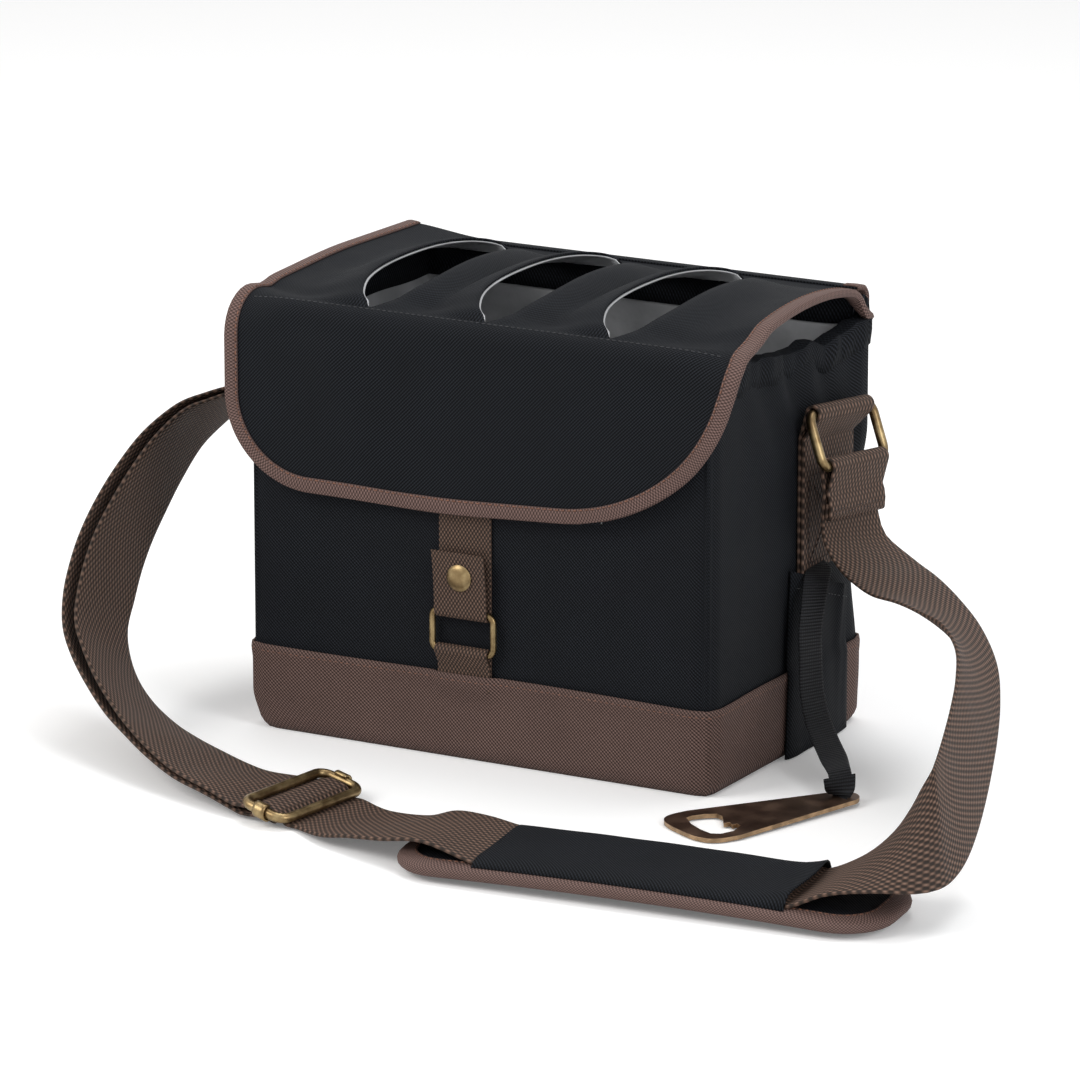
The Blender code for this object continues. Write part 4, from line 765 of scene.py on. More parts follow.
clip = cloth_grid(4, len(clip_path) - 1, clip_place, lambda i, j: (i * 0.0015, j * 0.002))
settle(clip, "slider_strip", brass.material, "slider", ("slider_bar",), wall=2 * CLIP_HALF)


# Shoulder pad: a crowned foam core in black cloth, bound all round with ribbed brown tape,
# with a black sleeve sewn on top for the strap to run through.

PAD_LENGTH, PAD_WIDTH, PAD_CORNER = 0.228, 0.060, 0.024
# Colours: painted shade in the weave's dips, the cloth's own near-black, and a painted bluish highlight on
# its crowns.
black_cloth = woven(
    "black_cloth", (0.0007, 0.0008, 0.0010), (0.0030, 0.0034, 0.0044), (0.030, 0.034, 0.043),
    (0.00085, 0.00085), 0.00022,
    gloss=0.10, ply=2.0, twill=0.45,
)
# Colours: painted shade in the weave's dips, the tape's own brown, and a painted highlight on its crowns.
binding_look = woven(
    "brown_binding", (0.040, 0.022, 0.018), (0.120, 0.071, 0.060), (0.27, 0.175, 0.155), (0.0010, 0.0008),
    0.00025,
    gloss=0.25, ply=2.0,
)


def rounded_rectangle(half_x, half_y, radius, steps, straight):
    """Points and outward ways round a rounded rectangle, with each side cut into short steps."""
    points = []
    for sx, sy, start in ((1, 1, 0), (-1, 1, 90), (-1, -1, 180), (1, -1, 270)):
        centre = (sx * (half_x - radius), sy * (half_y - radius))
        for k, (x, y) in enumerate(arc(centre, radius, start, start + 90, steps)):
            turn = math.radians(start + 90 * k / steps)
            points.append((Vector((x, y)), Vector((math.cos(turn), math.sin(turn)))))
    closed = []
    for (a, out), (b, _) in zip(points, points[1:] + points[:1]):
        count = max(1, round((b - a).length / straight))
        closed += [(a.lerp(b, k / count), out) for k in range(count)]
    return closed + closed[:1]


pad_edge = rounded_rectangle(PAD_LENGTH / 2 - 0.0011, PAD_WIDTH / 2 - 0.0011, PAD_CORNER, 8, 0.006)
PAD_RINGS = 10


def pad_height(u, v):
    """The pad's top: a low crown that falls away towards its edges."""
    edge = max(0.0, 1 - (abs(u) / (PAD_LENGTH / 2)) ** 6) * max(0.0, 1 - (abs(v) / (PAD_WIDTH / 2)) ** 4)
    return 0.0062 + 0.0016 * edge


def pad_place(i, j):
    (x, y), out = pad_edge[i]
    if j <= PAD_RINGS:
        share = j / PAD_RINGS
        return on_pad(x * share, y * share, 0.0006 + 0.0036 * share**4)
    if j <= PAD_RINGS + 3:
        k = (j - PAD_RINGS) / 4
        bulge = 0.0006 * math.sin(math.pi * k)
        return on_pad(x + out.x * bulge, y + out.y * bulge, 0.0042 + (pad_height(x, y) - 0.0042) * k)
    share = 1 - (j - PAD_RINGS - 4) / PAD_RINGS
    return on_pad(x * share, y * share, pad_height(x * share, y * share))


def pad_flat(i, j):
    (x, y), _ = pad_edge[i]
    share = min(j / PAD_RINGS, 1) if j <= PAD_RINGS + 3 else 1 - (j - PAD_RINGS - 4) / PAD_RINGS
    return x * share, y * share


pad_shape = cloth_grid(len(pad_edge) - 1, 2 * PAD_RINGS + 4, pad_place, pad_flat)
bmesh.ops.recalc_face_normals(pad_shape, faces=pad_shape.faces)
pad_core = settle(pad_shape, "pad_cushion", black_cloth, "pad", ("pad_core",))

tape_edge = rounded_rectangle(PAD_LENGTH / 2, PAD_WIDTH / 2, PAD_CORNER, 8, 0.005)
pad_tape = [(-0.0082, 0.0026), (-0.003, 0.0030), (-0.0008, 0.0033), (-0.0001, 0.0040), (0.0001, 0.0048)]
pad_tape += [(-0.0001, 0.0056), (-0.0009, 0.0064), (-0.0035, 0.0069), (-0.0062, 0.0073), (-0.0082, 0.0077)]


def tape_place(i, j):
    (x, y), out = tape_edge[i]
    reach, up = pad_tape[j]
    return on_pad(x + out.x * reach, y + out.y * reach, up)


tape_runs = [0.0]
for (a, _), (b, _) in zip(tape_edge, tape_edge[1:]):
    tape_runs.append(tape_runs[-1] + (b - a).length)
settle(
    cloth_grid(len(tape_edge) - 1, len(pad_tape) - 1, tape_place, lambda i, j: (j * 0.0021, tape_runs[i])),
    "pad_edging", binding_look, "pad", ("pad_binding",), wall=0.0007, side=1,
)
line = []
for k, ((x, y), out) in enumerate(tape_edge):
    line.append((on_pad(x - out.x * 0.0071, y - out.y * 0.0071, 0.0083), Vector((0, 0, 1))))
stitches("pad_stitches", line, thread_look, "pad", 0.003, 0.00026)

SLEEVE_HALF = WEB_WIDTH / 2 + 0.0014
SLEEVE_COLUMNS, SLEEVE_ROWS = 20, 40


def sleeve_place(i, j):
    """A flat tunnel, pressed down along its sewn sides, that stands open at its right mouth."""
    along = (j / SLEEVE_ROWS - 0.5) * SLEEVE_LENGTH
    v = (i / SLEEVE_COLUMNS - 0.5) * 2
    mouth = max(0.0, (along - 0.052) / 0.0205) ** 2
    rise = 0.0014 + (0.0011 + 0.0042 * mouth) * (1 - abs(v) ** 9) - 0.0016 * abs(v) ** 12
    ripple = 0.00035 * math.sin(along * 190 + v * 2) * (1 - v * v)
    return on_pad(
        along + 0.0015 * math.cos(v * 2.2) * (j == SLEEVE_ROWS), v * SLEEVE_HALF, 0.0075 + rise + ripple
    )


settle(
    cloth_grid(
        SLEEVE_COLUMNS, SLEEVE_ROWS, sleeve_place, lambda i, j: (i * 0.0028, j * SLEEVE_LENGTH / SLEEVE_ROWS)
    ),
    "pad_tunnel", black_cloth, "pad", ("pad_sleeve",), wall=0.0009, side=-1,
)


# Bottle opener: a flat plate of copper-plated steel, rounded at its narrow end, with a toothed
# window in its wide one. Its side faces get a lighter brass finish.

copper = Finish("old_copper", {"Metallic": 1.0})
grime = copper.noise(90, 5)
streak = copper.noise(24, 2)
tone = copper.blend(grime.between(0.35, 0.7), (0.105, 0.062, 0.042, 1), (0.21, 0.135, 0.095, 1))
copper.feed("Base Color", copper.blend(streak.between(0.5, 0.8) * 0.4, tone, (0.30, 0.205, 0.14, 1)))
copper.feed("Roughness", grime * 0.25 + 0.30)
copper.feed("Normal", copper.bump(grime, 0.0001, 0.5))
# A lighter brass finish for the plate's side faces.
edge_brass = plain("lighter_edge", (0.36, 0.24, 0.14), 0.3, 0.42, 1.0, 200)

plate_line = []
for i in range(33):
    t = math.pi / 2 * (1 - i / 16)
    plate_line.append(
        (0.0675 + 0.0180 * math.cos(t) ** 0.55, math.copysign(0.0212 * abs(math.sin(t)) ** 0.62, math.sin(t)))
    )
plate_line += [
    (-0.008 * math.cos(t), -0.008 * math.sin(t)) for t in (math.pi / 2 * (1 - i / 8) for i in range(17))
]
window = [
    (0.0735, -0.0128), (0.0765, -0.0040), (0.0774, 0.0050), (0.0768, 0.0120), (0.0735, 0.0148),
    (0.0665, 0.0145)
]
window += [
    (0.0600, 0.0100), (0.0598, 0.0068), (0.0624, 0.0070), (0.0614, 0.0036), (0.0642, 0.0030),
    (0.0616, -0.0014)
]
window += [(0.0590, -0.0060), (0.0595, -0.0100), (0.0640, -0.0125), (0.0700, -0.0137)]
eyelet = [(0.0013 * math.cos(t), 0.0048 * math.sin(t)) for t in (math.tau * k / 16 for k in range(16))]
plate = bmesh.new()
for outline in (plate_line, window, eyelet):
    corners = [plate.verts.new((x, y, 0)) for x, y in outline]
    for a, b in zip(corners, corners[1:] + corners[:1]):
        plate.edges.new((a, b))
bmesh.ops.triangle_fill(plate, edges=plate.edges, use_beauty=True)
bmesh.ops.dissolve_limit(plate, angle_limit=0.01, verts=plate.verts, edges=plate.edges)
grown = bmesh.ops.extrude_face_region(plate, geom=list(plate.faces))
bmesh.ops.translate(
    plate, verts=[v for v in grown["geom"] if isinstance(v, bmesh.types.BMVert)], vec=(0, 0, 0.002)
)
turn = Matrix((opener_along, opener_across, opener_up)).transposed().to_4x4()
bmesh.ops.transform(plate, matrix=Matrix.Translation(opener_spot) @ turn, verts=plate.verts)
bmesh.ops.recalc_face_normals(plate, faces=plate.faces)
for face in plate.faces:
    face.material_index = int(abs(face.normal.dot(opener_up)) < 0.5)
opener = settle(plate, "opener_plate", copper.material, "opener", ("opener",), sharp=30)
opener.data.materials.append(edge_brass)
rim = opener.modifiers.new("rim", "BEVEL")
rim.width = 0.00035
rim.segments = 2
rim.limit_method = "ANGLE"
rim.angle_limit = math.radians(50)


# Body: one wrapped shell of black polyester over foam sheets, seamed at its four upright corners.
# It is full at the foot, and the right gusset sags and crumples in at its hem.

BODY_CORNER = 0.0048
GUSSET_TOP = (
    (-0.080, 0.1975), (-0.066, 0.1955), (-0.041, 0.1905), (-0.0068, 0.1880), (0.0085, 0.1841), (0.020, 0.1854)
)
GUSSET_TOP += (
    (0.0316, 0.1857), (0.040, 0.1832), (0.049, 0.1853), (0.0575, 0.1875), (0.067, 0.1890), (0.080, 0.1920)
)


def gusset_top(y):
    for (y0, z0), (y1, z1) in zip(GUSSET_TOP, GUSSET_TOP[1:]):
        if y <= y1:
            return z0 + (z1 - z0) * eased((y - y0) / (y1 - y0))
    return GUSSET_TOP[-1][1]


WALL_STEP = 0.0035
corner_loop = rounded_rectangle(HALF_WIDTH, HALF_DEPTH, BODY_CORNER, 8, WALL_STEP)
stations = []
run = 0.0
for k, (spot, out) in enumerate(corner_loop):
    side_facing = abs(spot.y) < HALF_DEPTH - BODY_CORNER + 1e-6
    if side_facing:
        out = Vector((math.copysign(1, spot.x), 0))
    elif abs(spot.x) < HALF_WIDTH - BODY_CORNER + 1e-6:
        out = Vector((0, math.copysign(1, spot.y)))
    if k:
        run += (spot - corner_loop[k - 1][0]).length
    stations.append((spot, out, run))


def wall_push(spot, out, z):
    """How far the cloth stands out from the plain box, in metres."""
    push = -0.0035 * max(0.0, 1 - z / 0.006) ** 2
    to_corner = abs(abs(spot.x) - HALF_WIDTH) + abs(abs(spot.y) - HALF_DEPTH)
    push -= 0.0013 * hump(to_corner, 0.0041, 0.0022)
    push -= 0.0007 * (1 - math.cos(spot.x * 40)) * hump(z, 0.10, 0.06) * (abs(out.y) > 0.9)
    back_right = hump((spot - Vector((HALF_WIDTH, HALF_DEPTH))).length, 0, 0.013)
    push += back_right * (
        0.0050 * eased((z - 0.105) / 0.035) - 0.0022 * hump(z, 0.072, 0.022) + 0.0010 * hump(z, 0.03, 0.02)
    )
    if out.x > 0.9:
        high = eased((z - 0.150) / 0.040)
        push -= 0.0065 * high * hump(spot.y, 0.014, 0.024) + 0.0028 * high * hump(spot.y, -0.030, 0.018)
        push += 0.0026 * high * hump(spot.y, 0.027, 0.006) + 0.0016 * high * hump(spot.y, -0.004, 0.007)
        crumple = 0.0012 * eased((z - 0.125) / 0.05) * math.sin(spot.y * 230 + z * 90)
        push += crumple * hump(spot.y, 0.01, 0.045)
        push -= 0.0010 * hump(z, 0.09, 0.05) * hump(spot.y, -0.03, 0.03)
    return push


def wall_top(spot, out):
    if out.x > 0.7:
        return gusset_top(spot.y) + 0.0007 * math.sin(spot.y * 310)
    if out.x < -0.7:
        return 0.1985 + 0.0006 * math.sin(spot.y * 90)
    return 0.1985


def wall_spot(k, z, out_by=0.0):
    spot, out, _ = stations[k]
    place = spot + out * (wall_push(spot, out, z) + out_by)
    flare = 0.0060 * eased((-0.030 - spot.x) / 0.08) * eased((0.006 - spot.y) / 0.050)
    flare *= 0.2 + 0.8 * eased(z / 0.018)
    return Vector((place.x - flare, place.y, z))


SHELL_ROWS = 64


def shell_place(i, j):
    spot, out, _ = stations[i]
    return wall_spot(i, 0.0008 + (wall_top(spot, out) - 0.0008) * j / SHELL_ROWS, -0.0005)


shell = settle(
    cloth_grid(len(stations) - 1, SHELL_ROWS, shell_place, lambda i, j: (stations[i][2], j * 0.0031)),
    "body_shell", black_cloth, "bag",
    (
        "front_panel", "back_panel", "gusset_left", "gusset_right", "foam_front", "foam_back", "foam_left",
        "foam_right"
    ),
    wall=0.0010,
)
if shell.data.polygons[0].normal.dot(Vector((*stations[0][1], 0))) < 0:
    shell.data.flip_normals()

# Foot band: brown polyester round the whole foot, its top edge folded in and stitched, seamed at
# the corners like the shell. The keeper's webbing is tucked in behind its front.

# Colours: painted shade in the weave's dips, the cloth's own brown, and a painted pinkish highlight on its
# crowns.
brown_cloth = woven(
    "brown_cloth", (0.024, 0.0135, 0.011), (0.088, 0.050, 0.042), (0.27, 0.175, 0.15), (0.0009, 0.0009),
    0.00022,
    gloss=0.2, ply=2.0, twill=0.3,
)


CLOSURE_X, BAND_ROWS = -0.0075, 16


def over_keeper(spot):
    """1 where the front band lies over the keeper's webbing, easing to 0 beside it."""
    return eased((0.0165 - abs(spot.x - CLOSURE_X)) / 0.004)


def band_top(spot):
    return 0.0410 + 0.0006 * math.sin(spot.x * 31 + 1) - 0.0006 * hump(abs(spot.y), 0.060, 0.02)


def band_place(i, j):
    spot, out, _ = stations[i]
    share = j / BAND_ROWS
    z = band_top(spot) * share + 0.0002 * (1 - share)
    swell = 0.0009 + 0.0006 * hump(share, 0.93, 0.08)
    if spot.y < 0:
        swell += 0.0020 * eased((z - 0.026) / 0.010) * over_keeper(spot)
    return wall_spot(i, z, swell)


settle(
    cloth_grid(len(stations) - 1, BAND_ROWS, band_place, lambda i, j: (stations[i][2], j * 0.0026)),
    "foot_band", brown_cloth, "bag", ("band_front", "band_back", "band_left", "band_right"),
    wall=0.0008,
)


BOTTOM_ROWS = 12


def under_place(i, j):
    place = wall_spot(i, 0.0008) * (1 - j / BOTTOM_ROWS)
    return Vector((place.x, place.y, 0.0004 + 0.0006 * min(j, 4) / 4))


settle(
    cloth_grid(
        len(stations) - 1,
        BOTTOM_ROWS,
        under_place,
        lambda i, j: tuple(stations[i][0] * (1 - j / BOTTOM_ROWS))
    ),
    "bottom_cloth", brown_cloth, "bag", ("bottom_panel", "base_foam"), wall=0.0006,
)
line = []
for k, (spot, out, _) in enumerate(stations):
    z = band_top(spot) - 0.0030
    side = wall_spot(k, z, 0.0017 if spot.y > 0 else 0.0017 + 0.0020 * over_keeper(spot))
    line.append((side, Vector((*out, 0))))
stitches("band_stitches", line, thread_look, "bag", 0.0030, 0.00028)
corner_runs = []
for k, (spot, out, _) in enumerate(stations[:-1]):
    if abs(abs(out.x) - abs(out.y)) < 0.12:
        corner_runs.append([(wall_spot(k, 0.004 + z * 0.0045, 0.0009), Vector((*out, 0))) for z in range(9)])
for number, line in enumerate(corner_runs):
    stitches("corner_stitches_%d" % number, line, dark_thread, "bag", 0.0028, 0.0003)


# Lining: a welded tub of silver-grey film, a little wrinkled, with a rim that follows the hems.

foil = Finish("silver_lining", {"Metallic": 0.35})
crinkle = foil.noise(45, 4)
foil.feed(
    "Base Color", foil.blend(crinkle.between(0.3, 0.7), (0.34, 0.345, 0.355, 1), (0.47, 0.475, 0.49, 1))
)
foil.feed("Roughness", crinkle * 0.2 + 0.28)
foil.feed("Normal", foil.bump(crinkle, 0.0025, 0.6))


TUB_FLOOR, FLOOR_ROWS, TUB_ROWS = 0.0092, 8, 48


def lining_place(i, j):
    spot, out, _ = stations[i]
    top = wall_top(spot, out) - 0.0030
    if j <= FLOOR_ROWS:
        place = (spot - out * 0.0082) * (j / FLOOR_ROWS)
        return Vector((place.x, place.y, TUB_FLOOR))
    z = TUB_FLOOR + (top - TUB_FLOOR) * (j - FLOOR_ROWS) / (TUB_ROWS - FLOOR_ROWS)
    ripple = 0.0004 * math.sin(stations[i][2] * 170 + z * 60) * eased((z - 0.01) / 0.02)
    ripple *= eased((top - 0.014 - z) / 0.012)
    return wall_spot(i, z, -0.0068 + ripple)


settle(
    cloth_grid(len(stations) - 1, TUB_ROWS, lining_place, lambda i, j: (stations[i][2], j * 0.004)),
    "lining_tub", foil.material, "bag", ("lining",), wall=0.0006,
)

# Hems: black tape folded over the walls' top edges, gathered and crumpled along the right gusset.

HEM = [(0.0009, -0.0125), (0.0011, -0.006), (0.0011, -0.0015), (0.0006, 0.0004), (-0.0030, 0.0012)]
HEM += [(-0.0074, 0.0004), (-0.0080, -0.0015), (-0.0081, -0.006), (-0.0080, -0.0125)]


def hem_place(i, j):
    spot, out, along = stations[i]
    by, up = HEM[j]
    top = wall_top(spot, out)
    gather = 0.0007 * math.sin(along * 520) * (out.x > 0.9) * (up > -0.01)
    place = wall_spot(i, top, by + gather)
    place.z = top + up + 0.0005 * math.sin(along * 390 + 1) * (out.x > 0.9)
    return place


settle(
    cloth_grid(len(stations) - 1, len(HEM) - 1, hem_place, lambda i, j: (stations[i][2], j * 0.0032)),
    "top_hem", black_cloth, "bag", ("hem_front", "hem_back", "hem_left", "hem_right"),
    wall=0.0008, side=-1,
)

# Dividers: lapped boards covered with the same silver film, with rounded edges. The base board
# is plain grey.

for name in ("divider_long", "divider_cross_left", "divider_cross_right"):
    board = bmesh.new()
    board.from_mesh(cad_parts[name].data)
    bmesh.ops.remove_doubles(board, verts=board.verts, dist=WELD)
    bmesh.ops.dissolve_limit(board, angle_limit=0.02, verts=board.verts, edges=board.edges)
    bmesh.ops.bevel(
        board, geom=board.edges[:], offset=0.0009, segments=3, profile=0.5, affect="EDGES", material=-1,
        clamp_overlap=True
    )
    settle(board, name + "_cover", foil.material, "bag", (name,))
grey_board = plain("grey_board", (0.22, 0.22, 0.23), 0.15, 0.6, scale=60)
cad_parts["base_board"].data.materials.clear()
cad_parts["base_board"].data.materials.append(grey_board)


# Lid: one sheet of black polyester over a silver lining, with three long slots whose lips stand
# open. It lies on top, turns over the front and hangs down as the flap.

TOP_Z, BACK_Y, FOLD_Y = 0.2030, 0.0750, -0.0790
SHEET_LENGTH = 0.2370
SLOTS = (-0.059, 0.001, 0.064)
SLOT_Y, SLOT_HALF, SLOT_WIDE = -0.0060, 0.0640, 0.0165
LEFT_BACK, LEFT_HALF, LEFT_ROUND, LEFT_DEEP = 0.1235, 0.1295, 0.043, 0.043
RIGHT_BACK, RIGHT_HALF, RIGHT_ROUND, RIGHT_DEEP = 0.1195, 0.1305, 0.088, 0.085
SIDE_RUN, FOLD_RADIUS, TURN_SAVING, LIP_SPREAD = 0.155, 0.0075, 0.4292, 0.0185


def slot_half_at(y):
    share = (y - SLOT_Y) / SLOT_HALF
    return SLOT_WIDE * max(0.0, 1 - abs(share) ** 3) ** 0.6


def edge_at(s, facing):
    """The cut sheet's half width at this distance from its back edge, rounded in at the hem."""
    back, front, round_by, deep = LEFT_BACK, LEFT_HALF, LEFT_ROUND, LEFT_DEEP
    if facing > 0:
        back, front, round_by, deep = RIGHT_BACK, RIGHT_HALF, RIGHT_ROUND, RIGHT_DEEP
    half = back + (front - back) * min(s / SIDE_RUN, 1)
    into = max(s - (SHEET_LENGTH - deep), 0) / deep
    return half - round_by * (1 - math.sqrt(max(0.0, 1 - into * into)))


def lid_spot(x, s):
    """Where a point of the cut sheet lies: x across, s from the back edge over the top to the hem."""
    radius = FOLD_RADIUS + 0.012 * eased((abs(x) - 0.096) / 0.036)
    s = s * (1 - TURN_SAVING * (radius - FOLD_RADIUS) / SHEET_LENGTH)
    level = BACK_Y - FOLD_Y - radius
    turn = radius * math.pi / 2
    if s < level:
        y, z = BACK_Y - s, TOP_Z
    elif s < level + turn:
        angle = (s - level) / radius
        y, z = FOLD_Y + radius * (1 - math.sin(angle)), TOP_Z - radius * (1 - math.cos(angle))
    else:
        y, z = FOLD_Y, TOP_Z - radius - (s - level - turn)
    if s < level + turn:
        fade = eased((level + 0.004 - s) / 0.016)
        share = min(max((0.058 - y) / 0.124, 0), 1)
        bow = math.sin(math.pi * share)
        right_rise = 0.0085 * eased((x - 0.080) / 0.044) * bow**0.6
        left_rise = 0.0040 * eased((-x - 0.08) / 0.045) * eased((y + 0.06) / 0.08)
        z += (right_rise + left_rise) * fade
        mouth = min(max((y - SLOT_Y + SLOT_HALF) / (2 * SLOT_HALF), 0), 1)
        near = raised = 0.0
        for place in SLOTS:
            gap = max(abs(x - place) - slot_half_at(y), 0.0)
            near = max(near, hump(gap, 0, LIP_SPREAD))
            bluntness = 0.32 if x < place else 0.7
            lift = 0.0114 * math.sin(math.pi * mouth) ** bluntness if 0 < mouth < 1 else 0.0
            raised = max(raised, lift * hump(gap, 0, LIP_SPREAD))
        z += raised
        z -= 0.0016 * hump(s, level - 0.010, 0.006) * (1 - near * 0.5)
        z -= 0.0130 * eased((x - 0.107) / 0.013) * eased((0.017 - s) / 0.015)
    else:
        drop = s - level - turn
        above_hem = eased((0.078 - drop) / 0.03)
        y -= 0.0030 * hump(x + 0.085 - drop * 0.55, 0.0, 0.014) * eased(drop / 0.015) * above_hem
        y += 0.0016 * hump(x + 0.050 - drop * 0.45, 0.0, 0.016) * eased(drop / 0.02) * above_hem
        y -= 0.0014 * hump(x - 0.055 - drop * 0.4, 0.0, 0.022) * eased(drop / 0.03)
        y -= 0.0030 * eased((x - 0.090) / 0.035) * hump(drop, 0.03, 0.03)
        z += (0.0045 * eased((x + 0.020) / 0.12) - 0.0008 * hump(x, -0.026, 0.03)) * (drop / 0.079)
    return Vector((x, y, z))


def lid_way(x, s):
    step = 0.0006
    right = lid_spot(x + step, s) - lid_spot(x - step, s)
    ahead = lid_spot(x, s + step) - lid_spot(x, s - step)
    return ahead.cross(right).normalized()


LID_ROWS = 112
CUTS = (14, 1, 12, 1, 12, 1, 14)
knots = [0]
for cut in CUTS:
    knots.append(knots[-1] + cut)


def lid_flat(i, j, lip=0.0):
    """The place on the flat cut of one point of the grid, whose columns follow the slots' lips."""
    s = SHEET_LENGTH * j / LID_ROWS
    y = BACK_Y - s
    half = max(slot_half_at(y) - lip, 0.0) if y > -0.076 else 0.0
    marks = [-edge_at(s, -1)]
    for place in SLOTS:
        marks += [place - half, place + half]
    marks.append(edge_at(s, 1))
    part = max(k for k in range(len(CUTS)) if knots[k] <= i) if i < knots[-1] else len(CUTS) - 1
    share = (i - knots[part]) / CUTS[part]
    return marks[part] + (marks[part + 1] - marks[part]) * share, s


def lid_sheet(name, look, nodes, wall, sunk, lip):
    slots = {knots[1], knots[3], knots[5]}

    def place(i, j):
        x, s = lid_flat(i, j, lip)
        return lid_spot(x, s) - lid_way(x, s) * sunk

    shape = cloth_grid(knots[-1], LID_ROWS, place, lambda i, j: lid_flat(i, j, lip), lambda i, j: i in slots)
    area = 0.0
    weave = shape.loops.layers.uv.active
    for face in shape.faces:
        corners = [loop[weave].uv for loop in face.loops]
        area += abs(sum(a.x * b.y - b.x * a.y for a, b in zip(corners, corners[1:] + corners[:1]))) / 2
    bmesh.ops.reverse_faces(shape, faces=shape.faces)
    piece = settle(shape, name, look, None, nodes, wall=wall)
    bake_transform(piece)


lid_sheet("lid_cloth", black_cloth, ("lid_top", "lid_front"), 0.0010, 0.0, 0.0)
lid_sheet(
    "lid_lining", foil.material, ("lid_top_lining", "lid_front_lining"), 0.0006, 0.0012,
    0.0007
)

# Lid's binding: brown ribbed tape folded round the sheet's sides, rounded corners and hem, with a
# row of rust stitches along its inner edge.

RIM_STEP, STITCH_IN = 0.004, 0.0057
left_steps = round((SHEET_LENGTH - LEFT_ROUND) / RIM_STEP)
right_steps = round((SHEET_LENGTH - RIGHT_DEEP) / RIM_STEP)
rim_line = [(-edge_at(s, -1), s) for s in (RIM_STEP * k for k in range(left_steps))]
rim_line += [
    (-LEFT_HALF + LEFT_ROUND * (1 - math.cos(t)), SHEET_LENGTH - LEFT_DEEP * (1 - math.sin(t)))
    for t in (math.pi / 2 * k / 22 for k in range(23))
]
span = (LEFT_ROUND - LEFT_HALF, RIGHT_HALF - RIGHT_ROUND)
rim_line += [(span[0] + (span[1] - span[0]) * k / 40, SHEET_LENGTH) for k in range(1, 40)]
rim_line += [
    (RIGHT_HALF - RIGHT_ROUND * (1 - math.sin(t)), SHEET_LENGTH - RIGHT_DEEP * (1 - math.cos(t)))
    for t in (math.pi / 2 * k / 28 for k in range(29))
]
rim_line += [(edge_at(s, 1), s) for s in (RIM_STEP * k for k in range(right_steps - 1, -1, -1))]
rim_runs = [0.0]
rim_in = []
for k, (x, s) in enumerate(rim_line):
    before, after = Vector(rim_line[max(k - 1, 0)]), Vector(rim_line[min(k + 1, len(rim_line) - 1)])
    ahead = (after - before).normalized()
    rim_in.append(Vector((ahead.y, -ahead.x)))
    if k:
        rim_runs.append(rim_runs[-1] + (Vector((x, s)) - Vector(rim_line[k - 1])).length)
TAPE = [(0.0064, 0.0009), (0.0042, 0.0011), (0.0015, 0.0012), (-0.0002, 0.0009), (-0.0008, -0.0003)]
TAPE += [(-0.0002, -0.0017), (0.0015, -0.0022), (0.0042, -0.0021), (0.0064, -0.0020)]


def on_rim(k, inward, up):
    x, s = Vector(rim_line[k]) + rim_in[k] * inward
    return lid_spot(x, s) + lid_way(x, s) * up


lid_binding = settle(
    cloth_grid(
        len(rim_line) - 1,
        len(TAPE) - 1,
        lambda i, j: on_rim(i, *TAPE[j]),
        lambda i, j: (j * 0.0019, rim_runs[i])
    ),
    "lid_binding", binding_look, None,
    ("lid_binding_front", "lid_binding_left", "lid_binding_right"), wall=0.0007,
)
line = []
for k in range(len(rim_line)):
    x, s = Vector(rim_line[k]) + rim_in[k] * STITCH_IN
    line.append((on_rim(k, STITCH_IN, 0.0015), lid_way(x, s)))
lid_stitches = stitches("lid_stitches", line, thread_look, pitch=0.0031, thread=0.00028)
seam = [
    (lid_spot(-0.120 + 0.006 * k, 0.1485) + Vector((0, 0, 0.0006)), Vector((0, -0.3, 1))) for k in range(41)
]
black_thread = plain("black_thread", (0.02, 0.021, 0.025), 0.3, 0.6, scale=400)
seam_stitches = stitches("fold_stitches", seam, black_thread, pitch=0.0030, thread=0.00030)
for piece in (lid_binding, lid_stitches, seam_stitches):
    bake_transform(piece)

# Hinge strip: the same cloth, sewn on the lid's back edge and down the back panel.

STRIP_BACK, STRIP_FOOT = 0.0772, 0.1755
STRIP_HALF, STRIP_LENGTH, STRIP_ROWS = 0.1160, 0.0360, 20


def strip_spot(x, s):
    """Up the back from its foot, round the top edge and forward over the lid's back edge."""
    rise, radius = 0.0225, 0.0055
    if s < rise:
        return Vector((x, STRIP_BACK, STRIP_FOOT + s))
    if s < rise + radius * math.pi / 2:
        angle = (s - rise) / radius
        return Vector(
            (x, STRIP_BACK - radius * (1 - math.cos(angle)), STRIP_FOOT + rise + radius * math.sin(angle))
        )
    return Vector((x, 0.0717 - (s - rise - radius * math.pi / 2), STRIP_FOOT + rise + radius + 0.0004))


hinge_sheet = settle(
    cloth_grid(
        48, STRIP_ROWS,
        lambda i, j: strip_spot(STRIP_HALF * (i / 24 - 1), STRIP_LENGTH * j / STRIP_ROWS),
        lambda i, j: (i * 0.005, j * 0.0018),
    ),
    "hinge_strip", black_cloth, None, ("lid_hinge_strip",), wall=0.0009,
)
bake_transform(hinge_sheet)
END_TAPE = [
    (0.0072, 0.0008), (0.003, 0.0010), (0.0002, 0.0009), (-0.0006, 0), (0.0002, -0.0009), (0.003, -0.0010),
    (0.0072, -0.0008)
]


def strip_out(s):
    ahead = strip_spot(0, s + 0.0005) - strip_spot(0, s - 0.0005)
    return Vector((0, -ahead.z, ahead.y)).normalized() * -1


